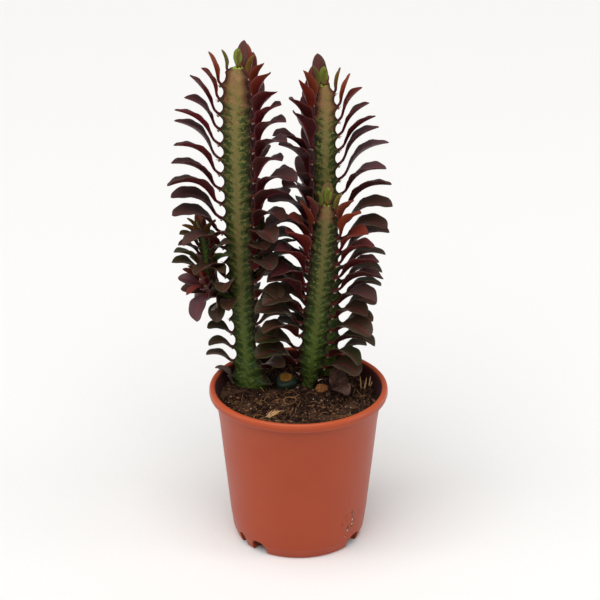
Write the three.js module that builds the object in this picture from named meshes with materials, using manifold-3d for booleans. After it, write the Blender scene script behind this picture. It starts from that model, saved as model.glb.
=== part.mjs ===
// A potted three-ribbed euphorbia with red-brown leaves, in a terracotta-coloured plastic pot.
// Millimetres, +Z up. The origin is the middle of the pot's underside, and -Y is the front.
import * as THREE from 'three';
import Module from 'manifold-3d';

const wasm = await Module();
wasm.setup();

// ---------------------------------------------------------------- pot
const POT_HEIGHT = 110;
const RIM_RADIUS = 60;
const LIP_DROP = 6.6;            // height of the rolled lip
const WALL = 1.3;
const FOOT_RADIUS = 42.2;
const FOOT_RING = 5;             // radial width of the ring that the pot stands on
const PAD_RADIUS = 12;           // flat pad in the middle of the underside
const FLOOR_RISE = 2.6;          // the floor between pad and ring is raised
const FLOOR_THICK = 1.8;
const WALL_OUTLINE = [[20, 46.4], [68, 51.4], [86, 53.2], [POT_HEIGHT - LIP_DROP, 55.8]];   // [height, radius]
const POT_SIDES = 40;
const NOTCH_HEIGHT = 9;
// Drain arches in the bottom corner: [middle, width] in degrees round from the front, + to the right.
const NOTCHES = [[-59, 10], [-38, 16], [58, 18], [121, 10], [142, 16], [-122, 18]];

// ---------------------------------------------------------------- soil
const SOIL_TOP = 98.5;           // mean height of the surface
const COLLAR_TOP = 100.5;        // soil heaped up to the stems
const SEAT_GAP = 0.3;            // between pieces that touch
const SOIL_RINGS = 8;
const CLOD_HEIGHT = 1;
const STUMP = { x: -8.6, y: 18, radius: 6.6, top: 106.5, plug: 4.5, depth: 12 };
const CHIP = { x: 15.6, y: 12, long: 8.4, wide: 6, thick: 2.2, turn: 12, seat: 99.2 };
const DEAD_LEAF = { x: 20, y: 5, seat: 98.8, bearing: 42, length: 23, width: 13 };
const RIM_LEAF = { x: -43.5, y: 17, z: 103.6, bearing: -100, length: 19, width: 9 };

// ---------------------------------------------------------------- growth of stems and leaves
const GROUND = 101;              // height at which the stems leave the soil
const CAP = [[0, 0.34], [3, 0.6], [8, 0.84], [16, 0.95], [28, 1]];   // [below the tip, share of reach]
const TIP_CROWDING = 2.5;        // the top leaves stand this much closer together
const TOOTH_DEPTH = 0.15;        // of the rib's reach
const SECTION = [[0, 1, 1], [18, 0.685, 0.3], [60, 0.52, 0], [102, 0.685, 0.3]];   // [degrees, share, tooth]
const PLUG_DEPTH = 27;           // how deep a stem stands in the soil
const BLADE_THICK = 1.3;
const BLADE_FOLD = 24;           // degrees, each half of the blade
const ROOT_SINK = 1.6;
const SPRING_OUT = 38;           // degrees
const STATIONS = [0, 0.27, 0.52, 0.78, 1];
const SPINE_HALF = 3.3;
const SPINE_WAIST = 0.55;

// Leaves by distance below the tip: [distance, value]; lengths in mm, slopes in degrees above level.
const TALL_LEAF = {
  length: [[0, 15], [8, 23], [19, 28], [30, 33], [42, 37], [55, 40], [80, 42], [110, 41], [150, 34], [180, 25]],
  width: [[0, 5], [8, 8], [20, 11], [35, 12.5], [60, 13.5], [90, 14.5], [150, 14], [180, 10]],
  rise: [[0, 90], [12, 82], [30, 74], [60, 67], [90, 60], [120, 54], [200, 44]],
  droop: [[0, 72], [10, 58], [25, 44], [40, 28], [55, 14], [80, 2], [110, -14], [150, -24], [200, -16]],
};
const SHORT_LEAF = {
  length: [[0, 13], [8, 21], [18, 28], [30, 33], [50, 38], [90, 40], [140, 36]],
  width: [[0, 5], [8, 8.5], [20, 12], [35, 14], [60, 16], [140, 16]],
  rise: [[0, 90], [12, 82], [30, 72], [60, 58], [90, 48], [140, 40]],
  droop: [[0, 66], [10, 50], [25, 32], [40, 8], [60, -14], [90, -26], [140, -30]],
};
const TWIG_LEAF = {
  length: [[0, 12], [6, 17], [14, 22], [30, 24], [60, 24]],
  width: [[0, 4], [6, 7], [14, 9.5], [30, 10.5], [60, 11]],
  rise: [[0, 85], [10, 70], [25, 54], [60, 44]],
  droop: [[0, 50], [8, 28], [20, 2], [40, -12], [60, -14]],
};

// Each stem: its axis as a quadratic curve, the bearings of its three ribs in degrees from the front
// (+ to the right), the leaf spacing along a rib, [height along it, reach of the ribs], and the
// stretches below the tip that have shed their leaves: [rib, from, to].
const STEMS = [
  { name: 'front', plant: 'stem_front', seed: 23, pitch: 9.6, ribs: [-60, 58, 178], leaf: SHORT_LEAF, plug: 4,
    axis: [[6.6, 18, GROUND], [14.5, 17, 165], [18.6, 13, 234]],
    reach: [[0, 5], [9, 7.6], [20, 10.8], [35, 11.2], [60, 10.8], [100, 10], [130, 9.4]],
    bare: [[0, 118, 140], [1, 122, 140], [2, 112, 140]] },
  { name: 'left', plant: 'stem_left', seed: 11, pitch: 10.4, ribs: [-74, 46, 166], leaf: TALL_LEAF, plug: 8,
    axis: [[-33, 23, GROUND], [-40.5, 23.6, 200], [-39, 24, 325]],
    reach: [[0, 13.5], [10, 12], [20, 9.6], [35, 9.4], [60, 10.4], [100, 11.4], [140, 12.2], [230, 12.4]],
    bare: [[0, 112, 178], [0, 208, 230], [1, 150, 168], [1, 186, 230], [2, 200, 230]] },
  { name: 'right', plant: 'stem_right', seed: 37, pitch: 10.4, ribs: [-44, 76, 196], leaf: TALL_LEAF, plug: 5.5,
    axis: [[18.5, 38, GROUND], [16, 42, 200], [16.6, 43, 306]],
    reach: [[0, 8], [20, 11], [40, 12.1], [122, 12.1], [132, 10.6], [150, 9.9], [210, 9.8]],
    bare: [[0, 186, 220], [1, 186, 220], [2, 186, 220]] },
  { name: 'knob', plant: 'stem_left', seed: 41, pitch: 5.6, ribs: [-110, 10, 130], leaf: TWIG_LEAF,
    axis: [[-42, 22.4, 164], [-56, 19, 164], [-62.5, 16.5, 182]],
    reach: [[0, 3], [8, 4], [18, 6.4], [60, 6.2]], bare: [[2, 22, 40]] },
  { name: 'side_twig', plant: 'stem_left', seed: 53, pitch: 6.4, ribs: [-60, 60, 180], leaf: TWIG_LEAF,
    axis: [[-60.5, 17.5, 172], [-60, 18, 198], [-65, 20, 215]],
    reach: [[0, 2.4], [16, 2.6], [30, 3.6], [60, 3.8]], bare: [[0, 28, 60], [1, 28, 60], [2, 28, 60]] },
  { name: 'back_twig', plant: 'stem_left', seed: 67, pitch: 6.6, ribs: [-20, 100, 220], leaf: TWIG_LEAF,
    axis: [[-36, 30, 166], [-25, 42, 176], [-24, 44, 208]],
    reach: [[0, 3], [8, 4.4], [60, 4.8]], bare: [[0, 30, 60], [1, 30, 60], [2, 30, 60]] },
];
// Turns tried, in degrees round and up, for a leaf that would touch a stem, the pot or another leaf.
const TURNS = [[0, 0], [12, 0], [-12, 0], [0, 9], [0, -9], [24, 4], [-24, 4], [36, 0], [-36, 0],
  [24, -12], [-24, -12], [48, 0], [-48, 0], [62, 6], [-62, 6]];
const CLEAR_OWN = 2.4;             // between sample points of two leaves on one plant
const CLEAR_OTHER = 5.2;         // and on two plants
const SAMPLES = [0.3, 0.4, 0.5, 0.6, 0.7, 0.8, 0.9, 1];

// ---------------------------------------------------------------- small tools
const radians = THREE.MathUtils.degToRad;
const vec = (x, y, z) => new THREE.Vector3(x, y, z);

function ramp(stops, x) {
  if (x <= stops[0][0]) return stops[0][1];
  for (let i = 1; i < stops.length; i++) {
    const [x0, y0] = stops[i - 1];
    const [x1, y1] = stops[i];
    if (x <= x1) return y0 + (y1 - y0) * (x - x0) / (x1 - x0);
  }
  return stops[stops.length - 1][1];
}

function ease(x) {
  const t = Math.min(1, Math.max(0, x));
  return t * t * (3 - 2 * t);
}

// Repeatable random numbers from 0 to 1.
function random(seed) {
  let state = seed;
  return () => {
    state = (Math.imul(state, 1664525) + 1013904223) >>> 0;
    return state / 4294967296;
  };
}

function geometry(points, faces) {
  const made = new THREE.BufferGeometry();
  made.setAttribute('position', new THREE.Float32BufferAttribute(points.flatMap((p) => [p.x, p.y, p.z]), 3));
  made.setIndex(faces.flat());
  return made;
}

// Rings of points joined into a closed skin, with a pole at each end. Rings run anticlockwise seen
// from the last pole, and go from the first pole to the last.
function skin(first, rings, last) {
  const n = rings[0].length;
  const points = [first, ...rings.flat(), last];
  const faces = [];
  const at = (ring, i) => 1 + ring * n + (i % n);
  for (let i = 0; i < n; i++) {
    faces.push([0, at(0, i + 1), at(0, i)]);
    faces.push([points.length - 1, at(rings.length - 1, i), at(rings.length - 1, i + 1)]);
    for (let r = 0; r + 1 < rings.length; r++) {
      faces.push([at(r, i), at(r, i + 1), at(r + 1, i + 1)], [at(r, i), at(r + 1, i + 1), at(r + 1, i)]);
    }
  }
  return geometry(points, faces);
}

function solid(made) {
  const vertProperties = new Float32Array(made.attributes.position.array);
  const triVerts = new Uint32Array(made.index.array);
  const body = new wasm.Manifold(new wasm.Mesh({ numProp: 3, vertProperties, triVerts }));
  if (body.volume() <= 0) throw new Error('a skin is inside out');
  return body;
}

function backToGeometry(manifold) {
  const mesh = manifold.getMesh();
  const made = new THREE.BufferGeometry();
  made.setAttribute('position', new THREE.BufferAttribute(new Float32Array(mesh.vertProperties), 3));
  made.setIndex(new THREE.BufferAttribute(new Uint32Array(mesh.triVerts), 1));
  return made;
}

// All parts in one body. What they seal in is filled, and a scrap that touches nothing is dropped.
function joined(parts) {
  const whole = parts.reduce((sum, part) => sum.add(part));
  return whole.decompose().reduce((best, shell) => (shell.volume() > best.volume() ? shell : best));
}

function round(radius, height, sides, x, y, bottom) {
  const ring = (z) => Array.from({ length: sides }, (_, i) => {
    const a = 2 * Math.PI * i / sides;
    return vec(x + radius * Math.cos(a), y + radius * Math.sin(a), z);
  });
  return skin(vec(x, y, bottom), [ring(bottom), ring(bottom + height)], vec(x, y, bottom + height));
}

// ---------------------------------------------------------------- pot
const wallRadius = (z) => ramp(WALL_OUTLINE, z);

function potGeometry() {
  const under = POT_HEIGHT - LIP_DROP;
  const neck = wallRadius(under);
  const floor = FLOOR_RISE + FLOOR_THICK;
  const ring = FOOT_RADIUS - FOOT_RING;
  const outline = [
    [0, 0], [PAD_RADIUS, 0], [PAD_RADIUS + 2, FLOOR_RISE], [ring - 2, FLOOR_RISE], [ring, 0], [FOOT_RADIUS - 1, 0],
    [FOOT_RADIUS, 0.8], [44.3, 6], [46.4, 20], [51.4, 68], [53.2, 86],
    [neck, under], [RIM_RADIUS - 0.5, under + 0.3], [RIM_RADIUS, POT_HEIGHT - 2.4],
    [RIM_RADIUS - 0.7, POT_HEIGHT - 0.7], [RIM_RADIUS - 2.2, POT_HEIGHT], [RIM_RADIUS - 3.9, POT_HEIGHT - 0.8],
    [neck - WALL + 0.5, under], [53.2 - WALL, 86], [51.4 - WALL, 68], [46.4 - WALL, 20],
    [44.3 - WALL, 7], [42.4 - WALL, floor], [0, floor],
  ];
  const turned = new THREE.LatheGeometry(outline.map(([r, z]) => new THREE.Vector2(r, z)), POT_SIDES);
  return closedLathe(turned, outline.length);
}

// The turned skin again with its seam and its points on the axis each merged into one, Z up.
function closedLathe(turned, count) {
  const places = turned.attributes.position;
  const rings = [];
  for (let j = 1; j < count - 1; j++) {
    const ring = [];
    for (let i = 0; i < POT_SIDES; i++) {
      const at = i * count + j;
      ring.push(vec(places.getX(at), -places.getZ(at), places.getY(at)));
    }
    rings.push(ring);
  }
  const top = places.getY(count - 1);
  return skin(vec(0, 0, places.getY(0)), rings.map(anticlockwise), vec(0, 0, top));
}

function anticlockwise(ring) {
  const area = ring.reduce((sum, p, i) => {
    const q = ring[(i + 1) % ring.length];
    return sum + p.x * q.y - q.x * p.y;
  }, 0);
  return area > 0 ? ring : [...ring].reverse();
}

// An arch-shaped cutter that runs outwards through the bottom corner of the wall.
function notch([bearing, width]) {
  const half = FOOT_RADIUS * radians(width) / 2;
  const arch = new THREE.Shape();
  arch.moveTo(-half, -1);
  arch.lineTo(half, -1);
  arch.lineTo(half, NOTCH_HEIGHT - half * 0.7);
  arch.lineTo(half * 0.55, NOTCH_HEIGHT);
  arch.lineTo(-half * 0.55, NOTCH_HEIGHT);
  arch.lineTo(-half, NOTCH_HEIGHT - half * 0.7);
  const cutter = new THREE.ExtrudeGeometry(arch, { depth: 16, bevelEnabled: false });
  cutter.rotateX(Math.PI / 2);
  cutter.translate(0, -FOOT_RADIUS + 9.5, 0);
  cutter.rotateZ(radians(bearing));
  return welded(cutter);
}

function welded(loose) {
  const places = loose.attributes.position;
  const found = new Map();
  const points = [];
  const index = [];
  for (let i = 0; i < places.count; i++) {
    const p = vec(places.getX(i), places.getY(i), places.getZ(i));
    const key = p.toArray().map((v) => Math.round(v * 1e4)).join();
    if (!found.has(key)) {
      found.set(key, points.length);
      points.push(p);
    }
    index.push(found.get(key));
  }
  const faces = [];
  for (let i = 0; i < index.length; i += 3) faces.push(index.slice(i, i + 3));
  return geometry(points, faces);
}

function pot() {
  return backToGeometry(NOTCHES.reduce((body, place) => body.subtract(solid(notch(place))), solid(potGeometry())));
}

// ---------------------------------------------------------------- stems
// Points along a stem's axis with the length up to each, and its bearings and tangent there.
const AXIS_STEPS = 64;
function prepare(stem) {
  const curve = new THREE.QuadraticBezierCurve3(...stem.axis.map((p) => vec(...p)));
  stem.points = Array.from({ length: AXIS_STEPS + 1 }, (_, i) => curve.getPoint(i / AXIS_STEPS));
  stem.lengths = [0];
  for (let i = 1; i <= AXIS_STEPS; i++) {
    stem.lengths.push(stem.lengths[i - 1] + stem.points[i].distanceTo(stem.points[i - 1]));
  }
  stem.total = stem.lengths[AXIS_STEPS];
}
STEMS.forEach(prepare);

function axisPoint(stem, b) {
  const along = Math.min(stem.total, Math.max(0, b));
  let i = 1;
  while (i < AXIS_STEPS && stem.lengths[i] < along) i++;
  const share = (along - stem.lengths[i - 1]) / (stem.lengths[i] - stem.lengths[i - 1]);
  return stem.points[i - 1].clone().lerp(stem.points[i], share);
}

function tangent(stem, b) {
  const low = axisPoint(stem, Math.max(0, b - 2));
  return axisPoint(stem, Math.min(stem.total, b + 2)).sub(low).normalize();
}

const reachAt = (stem, b) => ramp(stem.reach, b) * ramp(CAP, stem.total - b);

// The level direction at a bearing from the front, squared up to the stem's tangent.
function outward(bearing, up) {
  const a = radians(bearing);
  const out = vec(Math.sin(a), -Math.cos(a), 0);
  return out.addScaledVector(up, -out.dot(up)).normalize();
}

// Distance below the tip of leaf number k, counted in spacings. Ribs are a third of one apart.
const leafDrop = (stem, k) => 1 + stem.pitch * k - TIP_CROWDING * (1 - Math.exp(-k / 1.2));

// The skin of a stem: rows of points that pass through the teeth of all three ribs and the dips
// between them, so each row climbs and falls by a third of the leaf spacing round the stem.
function stemSkin(stem) {
  const rows = [];
  const steps = [0, 1 / 3, -1 / 3];
  const step = stem.plug ? 0.5 : 1;         // twigs have no dips
  for (let k = 0; leafDrop(stem, k + 1 / 3) < stem.total - 6; k += step) {
    const row = [];
    for (let rib = 0; rib < 3; rib++) {
      for (const [turn, share, tooth] of SECTION) {
        const phase = THREE.MathUtils.lerp(steps[rib], steps[(rib + 1) % 3], turn / 120);
        const drop = Math.max(0.4 + 0.6 * k, leafDrop(stem, k + phase));
        row.push(stemPoint(stem, stem.total - drop, stem.ribs[rib] + turn, share, k % 1 ? tooth : 0));
      }
    }
    rows.push(row);
  }
  const foot = [];
  for (let rib = 0; rib < 3; rib++) {
    for (const [turn, share] of SECTION) foot.push(stemPoint(stem, 0.4, stem.ribs[rib] + turn, share, 0));
  }
  rows.push(foot);
  const tip = axisPoint(stem, stem.total).addScaledVector(tangent(stem, stem.total), 0.8);
  if (!stem.plug) return skin(tip, rows.map((r) => [...r].reverse()), axisPoint(stem, 0));
  const end = axisPoint(stem, 0);
  const bottom = GROUND - PLUG_DEPTH;
  const ring = (z) => foot.map((_, i) => {
    const a = radians(stem.ribs[Math.floor(i / SECTION.length)] + SECTION[i % SECTION.length][0]);
    return vec(end.x + stem.plug * Math.sin(a), end.y - stem.plug * Math.cos(a), z);
  });
  rows.push(ring(GROUND - 0.1), ring(bottom));
  return skin(tip, rows.map((r) => [...r].reverse()), vec(end.x, end.y, bottom));
}

function stemPoint(stem, b, bearing, share, dip) {
  const reach = reachAt(stem, b) * share * (1 - TOOTH_DEPTH * dip);
  return axisPoint(stem, b).addScaledVector(outward(bearing, tangent(stem, b)), reach);
}

// ---------------------------------------------------------------- leaves
// Degrees above level along the midrib: it springs out of the rib, turns up and then arches over.
function slope(leaf, t) {
  return leaf.rise - SPRING_OUT * (1 - ease(t / 0.22)) + (leaf.droop - leaf.rise) * ease((t - 0.14) / 0.9);
}

// Half-width share: a slim petiole, widest at two thirds, and a rounded point.
function widthShare(t) {
  if (t < 0.66) return 0.16 + 0.84 * ease((t - 0.1) / 0.56);
  return Math.sqrt(Math.max(0, 1 - ((t - 0.66) / 0.34) ** 2.2));
}

// The arched midrib, in steps of a fixed length that turn from the rise to the droop.
const ARC_STEPS = 24;
function midrib(leaf) {
  const places = [[0, 0]];
  for (let i = 0; i < ARC_STEPS; i++) {
    const a = radians(slope(leaf, (i + 0.5) / ARC_STEPS));
    const [x, z] = places[i];
    places.push([x + Math.cos(a) * leaf.length / ARC_STEPS, z + Math.sin(a) * leaf.length / ARC_STEPS]);
  }
  return places;
}

// Sections across the blade: right edge, upper middle, left edge, lower middle.
function sections(leaf, stations) {
  const arc = midrib(leaf);
  return stations.map((t) => {
    const at = Math.min(ARC_STEPS - 1e-9, t * ARC_STEPS);
    const i = Math.floor(at);
    const x = arc[i][0] + (arc[i + 1][0] - arc[i][0]) * (at - i);
    const z = arc[i][1] + (arc[i + 1][1] - arc[i][1]) * (at - i);
    const middle = leaf.root.clone().addScaledVector(leaf.out, x).addScaledVector(leaf.up, z);
    const a = radians(slope(leaf, t));
    const flat = leaf.up.clone().multiplyScalar(Math.cos(a)).addScaledVector(leaf.out, -Math.sin(a));
    const roll = radians(leaf.roll * t);
    const side = leaf.side.clone().multiplyScalar(Math.cos(roll)).addScaledVector(flat, Math.sin(roll));
    const face = flat.multiplyScalar(Math.cos(roll)).addScaledVector(leaf.side, -Math.sin(roll));
    const half = leaf.width / 2 * widthShare(t);
    const fold = radians(BLADE_FOLD) * ease(t / 0.3);
    const thick = BLADE_THICK / 2 * (0.6 + 0.4 * widthShare(t)) * (t < 1 ? 1 : 0);
    const edge = (sign) => middle.clone().addScaledVector(side, sign * half * Math.cos(fold))
      .addScaledVector(face, half * Math.sin(fold));
    return [edge(1), middle.clone().addScaledVector(face, thick), edge(-1),
      middle.clone().addScaledVector(face, -thick)];
  });
}

function samplePoints(leaf) {
  return sections(leaf, SAMPLES).flatMap(([right, over, left, under]) => {
    const middle = over.clone().add(under).multiplyScalar(0.5);
    return [left, left.clone().add(middle).multiplyScalar(0.5), middle,
      right.clone().add(middle).multiplyScalar(0.5), right];
  });
}

function blocked(leaf, samples, leaves) {
  if (samples.some((p) => (p.z < 114 && Math.hypot(p.x, p.y) > 50) || p.z < GROUND + 4)) return true;
  for (const other of STEMS) {
    if (other === leaf.stem) continue;
    const widest = Math.max(...other.reach.map(([, r]) => r));
    const room = widest + (other.plant === leaf.stem.plant ? -1 : 3.6);
    if (samples.some((p) => other.points.some((q, i) => i % 2 === 0 && p.distanceTo(q) < room))) return true;
  }
  return leaves.some((other) => {
    const clear = other.stem.plant === leaf.stem.plant ? CLEAR_OWN : CLEAR_OTHER;
    if (leaf.centre.distanceTo(other.centre) > leaf.span + other.span + clear) return false;
    return samples.some((p) => other.samples.some((q) => p.distanceTo(q) < clear));
  });
}

// One leaf at a drop below the tip, turned to the first place where it is clear, or none.
function place(stem, rib, drop, draw, leaves) {
  const b = stem.total - drop;
  if (b < 7 || stem.bare.some(([r, from, to]) => r === rib && drop >= from && drop <= to)) return null;
  const up = tangent(stem, b);
  const { length, width, rise, droop } = stem.leaf;
  const swing = 26 * (draw[5] - 0.5) * ease(drop / 40);
  for (const [turn, lift] of TURNS) {
    const out = outward(stem.ribs[rib] + swing + turn, up);
    const side = up.clone().cross(out);
    const reach = reachAt(stem, b);
    const root = axisPoint(stem, b).addScaledVector(side, 0.2)
      .addScaledVector(outward(stem.ribs[rib], up), reach - Math.min(ROOT_SINK, reach * 0.35));
    const leaf = {
      stem, rib, drop, up, out, root, side,
      length: ramp(length, drop) * (1 + 0.16 * (draw[0] - 0.5)),
      width: ramp(width, drop) * (1 + 0.14 * (draw[1] - 0.5)),
      rise: ramp(rise, drop) + 8 * (draw[2] - 0.5),
      droop: ramp(droop, drop) + 24 * (draw[3] - 0.5) + lift,
      roll: 40 * (draw[4] - 0.5),
    };
    leaf.samples = samplePoints(leaf);
    leaf.centre = leaf.samples.reduce((sum, p) => sum.add(p), vec(0, 0, 0)).divideScalar(leaf.samples.length);
    leaf.span = Math.max(...leaf.samples.map((p) => p.distanceTo(leaf.centre)));
    if (!blocked(leaf, leaf.samples, leaves)) return leaf;
  }
  return null;
}

function growLeaves() {
  const leaves = [];
  for (const stem of STEMS) {
    const next = random(stem.seed);
    for (let k = 0; leafDrop(stem, k) < stem.total - 7; k++) {
      for (let rib = 0; rib < 3; rib++) {
        const draw = Array.from({ length: 6 }, next);
        const leaf = place(stem, rib, leafDrop(stem, k + rib / 3), draw, leaves);
        if (leaf) leaves.push(leaf);
      }
    }
  }
  return leaves;
}

function leafSkin(leaf) {
  const rings = sections(leaf, STATIONS);
  const tip = rings.pop()[1];
  const root = rings[0][1].clone().add(rings[0][3]).multiplyScalar(0.5);
  return skin(root, rings, tip);
}

// ---------------------------------------------------------------- spines
// A pair of spines on a tooth is one thin spindle across it, whose waist lies inside the rib.
function spinePair(stem, rib, drop) {
  const b = stem.total - drop;
  const up = tangent(stem, b);
  const out = outward(stem.ribs[rib], up);
  const side = up.clone().cross(out);
  const waist = axisPoint(stem, b).addScaledVector(out, reachAt(stem, b) - 0.6)
    .addScaledVector(up, -1.3).addScaledVector(side, 0.12);
  const ring = [0, 1, 2].map((i) => {
    const a = 2 * Math.PI * i / 3 + 0.4;
    return waist.clone().addScaledVector(out, SPINE_WAIST * Math.cos(a)).addScaledVector(up, SPINE_WAIST * Math.sin(a));
  });
  const end = (sign) => waist.clone().addScaledVector(side, sign * SPINE_HALF).addScaledVector(out, 1.6);
  return skin(end(1), [ring], end(-1));
}

function spines(stem) {
  const pairs = [];
  for (let k = 1; leafDrop(stem, k) < stem.total - 8; k += 2) {
    for (let rib = 0; rib < 3; rib++) {
      const drop = leafDrop(stem, k + rib / 3);
      if (drop < stem.total - 8 && stem.plug) pairs.push(spinePair(stem, rib, drop));
    }
  }
  return pairs;
}

function plant(name, leaves) {
  const stems = STEMS.filter((stem) => stem.plant === name);
  const skins = [
    ...stems.map(stemSkin),
    ...leaves.filter((leaf) => leaf.stem.plant === name).map(leafSkin),
    ...stems.flatMap(spines),
  ];
  return backToGeometry(joined(skins.map(solid)));
}

// ---------------------------------------------------------------- soil and what lies on it
// Flat seats in the surface: [x, y, flat radius, height].
const SEATS = [
  ...STEMS.filter((stem) => stem.plug).map((stem) => [stem.axis[0][0], stem.axis[0][1], stem.reach[0][1] + 1, COLLAR_TOP]),
  [STUMP.x, STUMP.y, STUMP.radius + 1, COLLAR_TOP],
  [CHIP.x, CHIP.y, 5, CHIP.seat],
  [DEAD_LEAF.x + 8, DEAD_LEAF.y - 8, 11, DEAD_LEAF.seat],
];
const SEAT_FADE = 9;

function soilHeight(x, y) {
  const clods = 0.6 * Math.sin(0.23 * x + 1.3) * Math.cos(0.19 * y - 0.4) + 0.4 * Math.sin(0.51 * x - 0.37 * y);
  let z = SOIL_TOP + CLOD_HEIGHT * clods;
  for (const [sx, sy, flat, height] of SEATS) {
    const near = 1 - ease((Math.hypot(x - sx, y - sy) - flat) / SEAT_FADE);
    z += (height - z) * near;
  }
  return z;
}

function soilRing(radius, height) {
  return Array.from({ length: POT_SIDES }, (_, i) => {
    const a = 2 * Math.PI * i / POT_SIDES - Math.PI / 2;
    const x = radius * Math.cos(a);
    const y = radius * Math.sin(a);
    return vec(x, y, height ?? soilHeight(x, y));
  });
}

function soil() {
  const floor = FLOOR_RISE + FLOOR_THICK + SEAT_GAP;
  const depths = [[floor, 42.4], [7, 44.3], [20, 46.4], [68, 51.4], [86, 53.2]];
  const edge = 53.4;
  const rings = depths.map(([z, r]) => soilRing(r - WALL - SEAT_GAP - 0.1, z));
  for (let i = 0; i < SOIL_RINGS; i++) rings.push(soilRing(edge * (1 - i / SOIL_RINGS)));
  const filled = solid(skin(vec(0, 0, floor), rings, vec(0, 0, soilHeight(0, 0))));
  const holes = STEMS.filter((stem) => stem.plug)
    .map((stem) => [stem.axis[0][0], stem.axis[0][1], stem.plug, PLUG_DEPTH]);
  holes.push([STUMP.x, STUMP.y, STUMP.plug, STUMP.depth]);
  return backToGeometry(holes.reduce((body, [x, y, plug, depth]) => {
    const sides = 14;
    const radius = (plug + SEAT_GAP) / Math.cos(Math.PI / sides);
    const bottom = GROUND - depth - SEAT_GAP;
    return body.subtract(solid(round(radius, depth + 10, sides, x, y, bottom)));
  }, filled));
}

// What is left of a stem that was cut off low: a rounded stub with a slanting cut face.
function stump() {
  const { x, y, radius, top, plug, depth } = STUMP;
  const sides = 12;
  const ring = (r, z, slant) => Array.from({ length: sides }, (_, i) => {
    const a = 2 * Math.PI * i / sides;
    const lobe = 1 + 0.09 * Math.cos(3 * a);
    return vec(x + r * lobe * Math.cos(a), y + r * lobe * Math.sin(a), z + slant * Math.sin(a));
  });
  const rings = [ring(plug / 1.09, GROUND - depth, 0), ring(plug / 1.09, GROUND - 0.1, 0), ring(radius * 0.92, GROUND + 0.2, 0),
    ring(radius, GROUND + 2.2, 0), ring(radius * 0.86, top - 1.6, 0.5), ring(radius * 0.62, top - 0.2, 1)];
  return skin(vec(x, y, GROUND - depth), rings, vec(x, y, top - 0.2));
}

function chip() {
  const outline = new THREE.Shape();
  const sides = 11;
  for (let i = 0; i < sides; i++) {
    const a = 2 * Math.PI * i / sides;
    const wobble = 1 + 0.08 * Math.cos(2.6 * i);
    const at = [CHIP.long / 2 * wobble * Math.cos(a), CHIP.wide / 2 * wobble * Math.sin(a)];
    if (i) outline.lineTo(...at);
    else outline.moveTo(...at);
  }
  const bevel = { bevelThickness: 0.6, bevelSize: 0.6, bevelOffset: -0.6, bevelSegments: 1 };
  const made = new THREE.ExtrudeGeometry(outline, { depth: CHIP.thick - 1.2, ...bevel });
  made.rotateZ(radians(CHIP.turn));
  made.translate(CHIP.x, CHIP.y, CHIP.seat + SEAT_GAP + 0.6);
  return welded(made);
}

// A withered leaf lying loose, moved so that its lowest point is at a given height.
function looseLeaf({ x, y, bearing, length, width }, rise, droop, roll, lowest) {
  const up = vec(0, 0, 1);
  const out = outward(bearing, up);
  const leaf = { root: vec(x, y, 0), up, out, side: up.clone().cross(out), length, width, rise, droop, roll };
  const made = leafSkin(leaf);
  made.computeBoundingBox();
  made.translate(0, 0, lowest - made.boundingBox.min.z);
  return made;
}

const LEAVES = growLeaves();
const euphorbia = new THREE.Group();
function addPart(name, made, color, roughness) {
  const mesh = new THREE.Mesh(made, new THREE.MeshStandardMaterial({ color, roughness, metalness: 0 }));
  mesh.name = name;
  euphorbia.add(mesh);
}
addPart('pot', pot(), '#a54a32', 0.45);
addPart('soil', soil(), '#4a3222', 0.95);
addPart('cut_stump', stump(), '#2f4036', 0.6);
addPart('bark_chip', chip(), '#8a5a2c', 0.8);
addPart('withered_leaf', looseLeaf(DEAD_LEAF, SPRING_OUT + 14, -24, 8, DEAD_LEAF.seat + SEAT_GAP), '#3a2622', 0.8);
addPart('rim_leaf', looseLeaf(RIM_LEAF, SPRING_OUT + 40, -6, 10, 101), '#5b4a44', 0.8);
addPart('stem_left', plant('stem_left', LEAVES), '#4c5a33', 0.5);
addPart('stem_front', plant('stem_front', LEAVES), '#4c5a33', 0.5);
addPart('stem_right', plant('stem_right', LEAVES), '#4c5a33', 0.5);

export default euphorbia;
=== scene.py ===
"""A potted three-ribbed euphorbia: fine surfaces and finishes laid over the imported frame.

Shapes are worked out in millimetres with numpy and become metres as they go into a mesh.
"""
import math
from functools import partial

import bpy
import numpy as np
from bpy.props import FloatProperty, FloatVectorProperty, IntProperty, PointerProperty
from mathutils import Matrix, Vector


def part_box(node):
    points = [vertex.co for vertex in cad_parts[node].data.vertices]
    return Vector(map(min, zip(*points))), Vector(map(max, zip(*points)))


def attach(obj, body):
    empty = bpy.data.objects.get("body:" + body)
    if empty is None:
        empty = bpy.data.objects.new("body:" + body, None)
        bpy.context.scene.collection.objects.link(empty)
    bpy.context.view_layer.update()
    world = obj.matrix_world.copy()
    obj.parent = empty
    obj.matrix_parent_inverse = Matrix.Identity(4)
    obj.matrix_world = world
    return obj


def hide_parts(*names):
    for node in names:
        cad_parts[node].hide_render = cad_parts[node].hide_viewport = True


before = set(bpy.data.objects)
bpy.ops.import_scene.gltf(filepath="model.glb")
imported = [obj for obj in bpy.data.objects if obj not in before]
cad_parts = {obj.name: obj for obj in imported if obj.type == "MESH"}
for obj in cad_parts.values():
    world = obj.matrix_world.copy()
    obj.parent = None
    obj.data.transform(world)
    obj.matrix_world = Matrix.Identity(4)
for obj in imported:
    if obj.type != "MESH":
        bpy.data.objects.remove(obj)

bl_info = {
    "name": "Potted Euphorbia",
    "version": (1, 0, 0),
    "blender": (4, 5, 0),
    "location": "View3D > Sidebar > Euphorbia",
    "description": "Builds the pot, soil, ribbed stems, leaves and spines of a potted euphorbia",
    "category": "Object",
}

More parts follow.
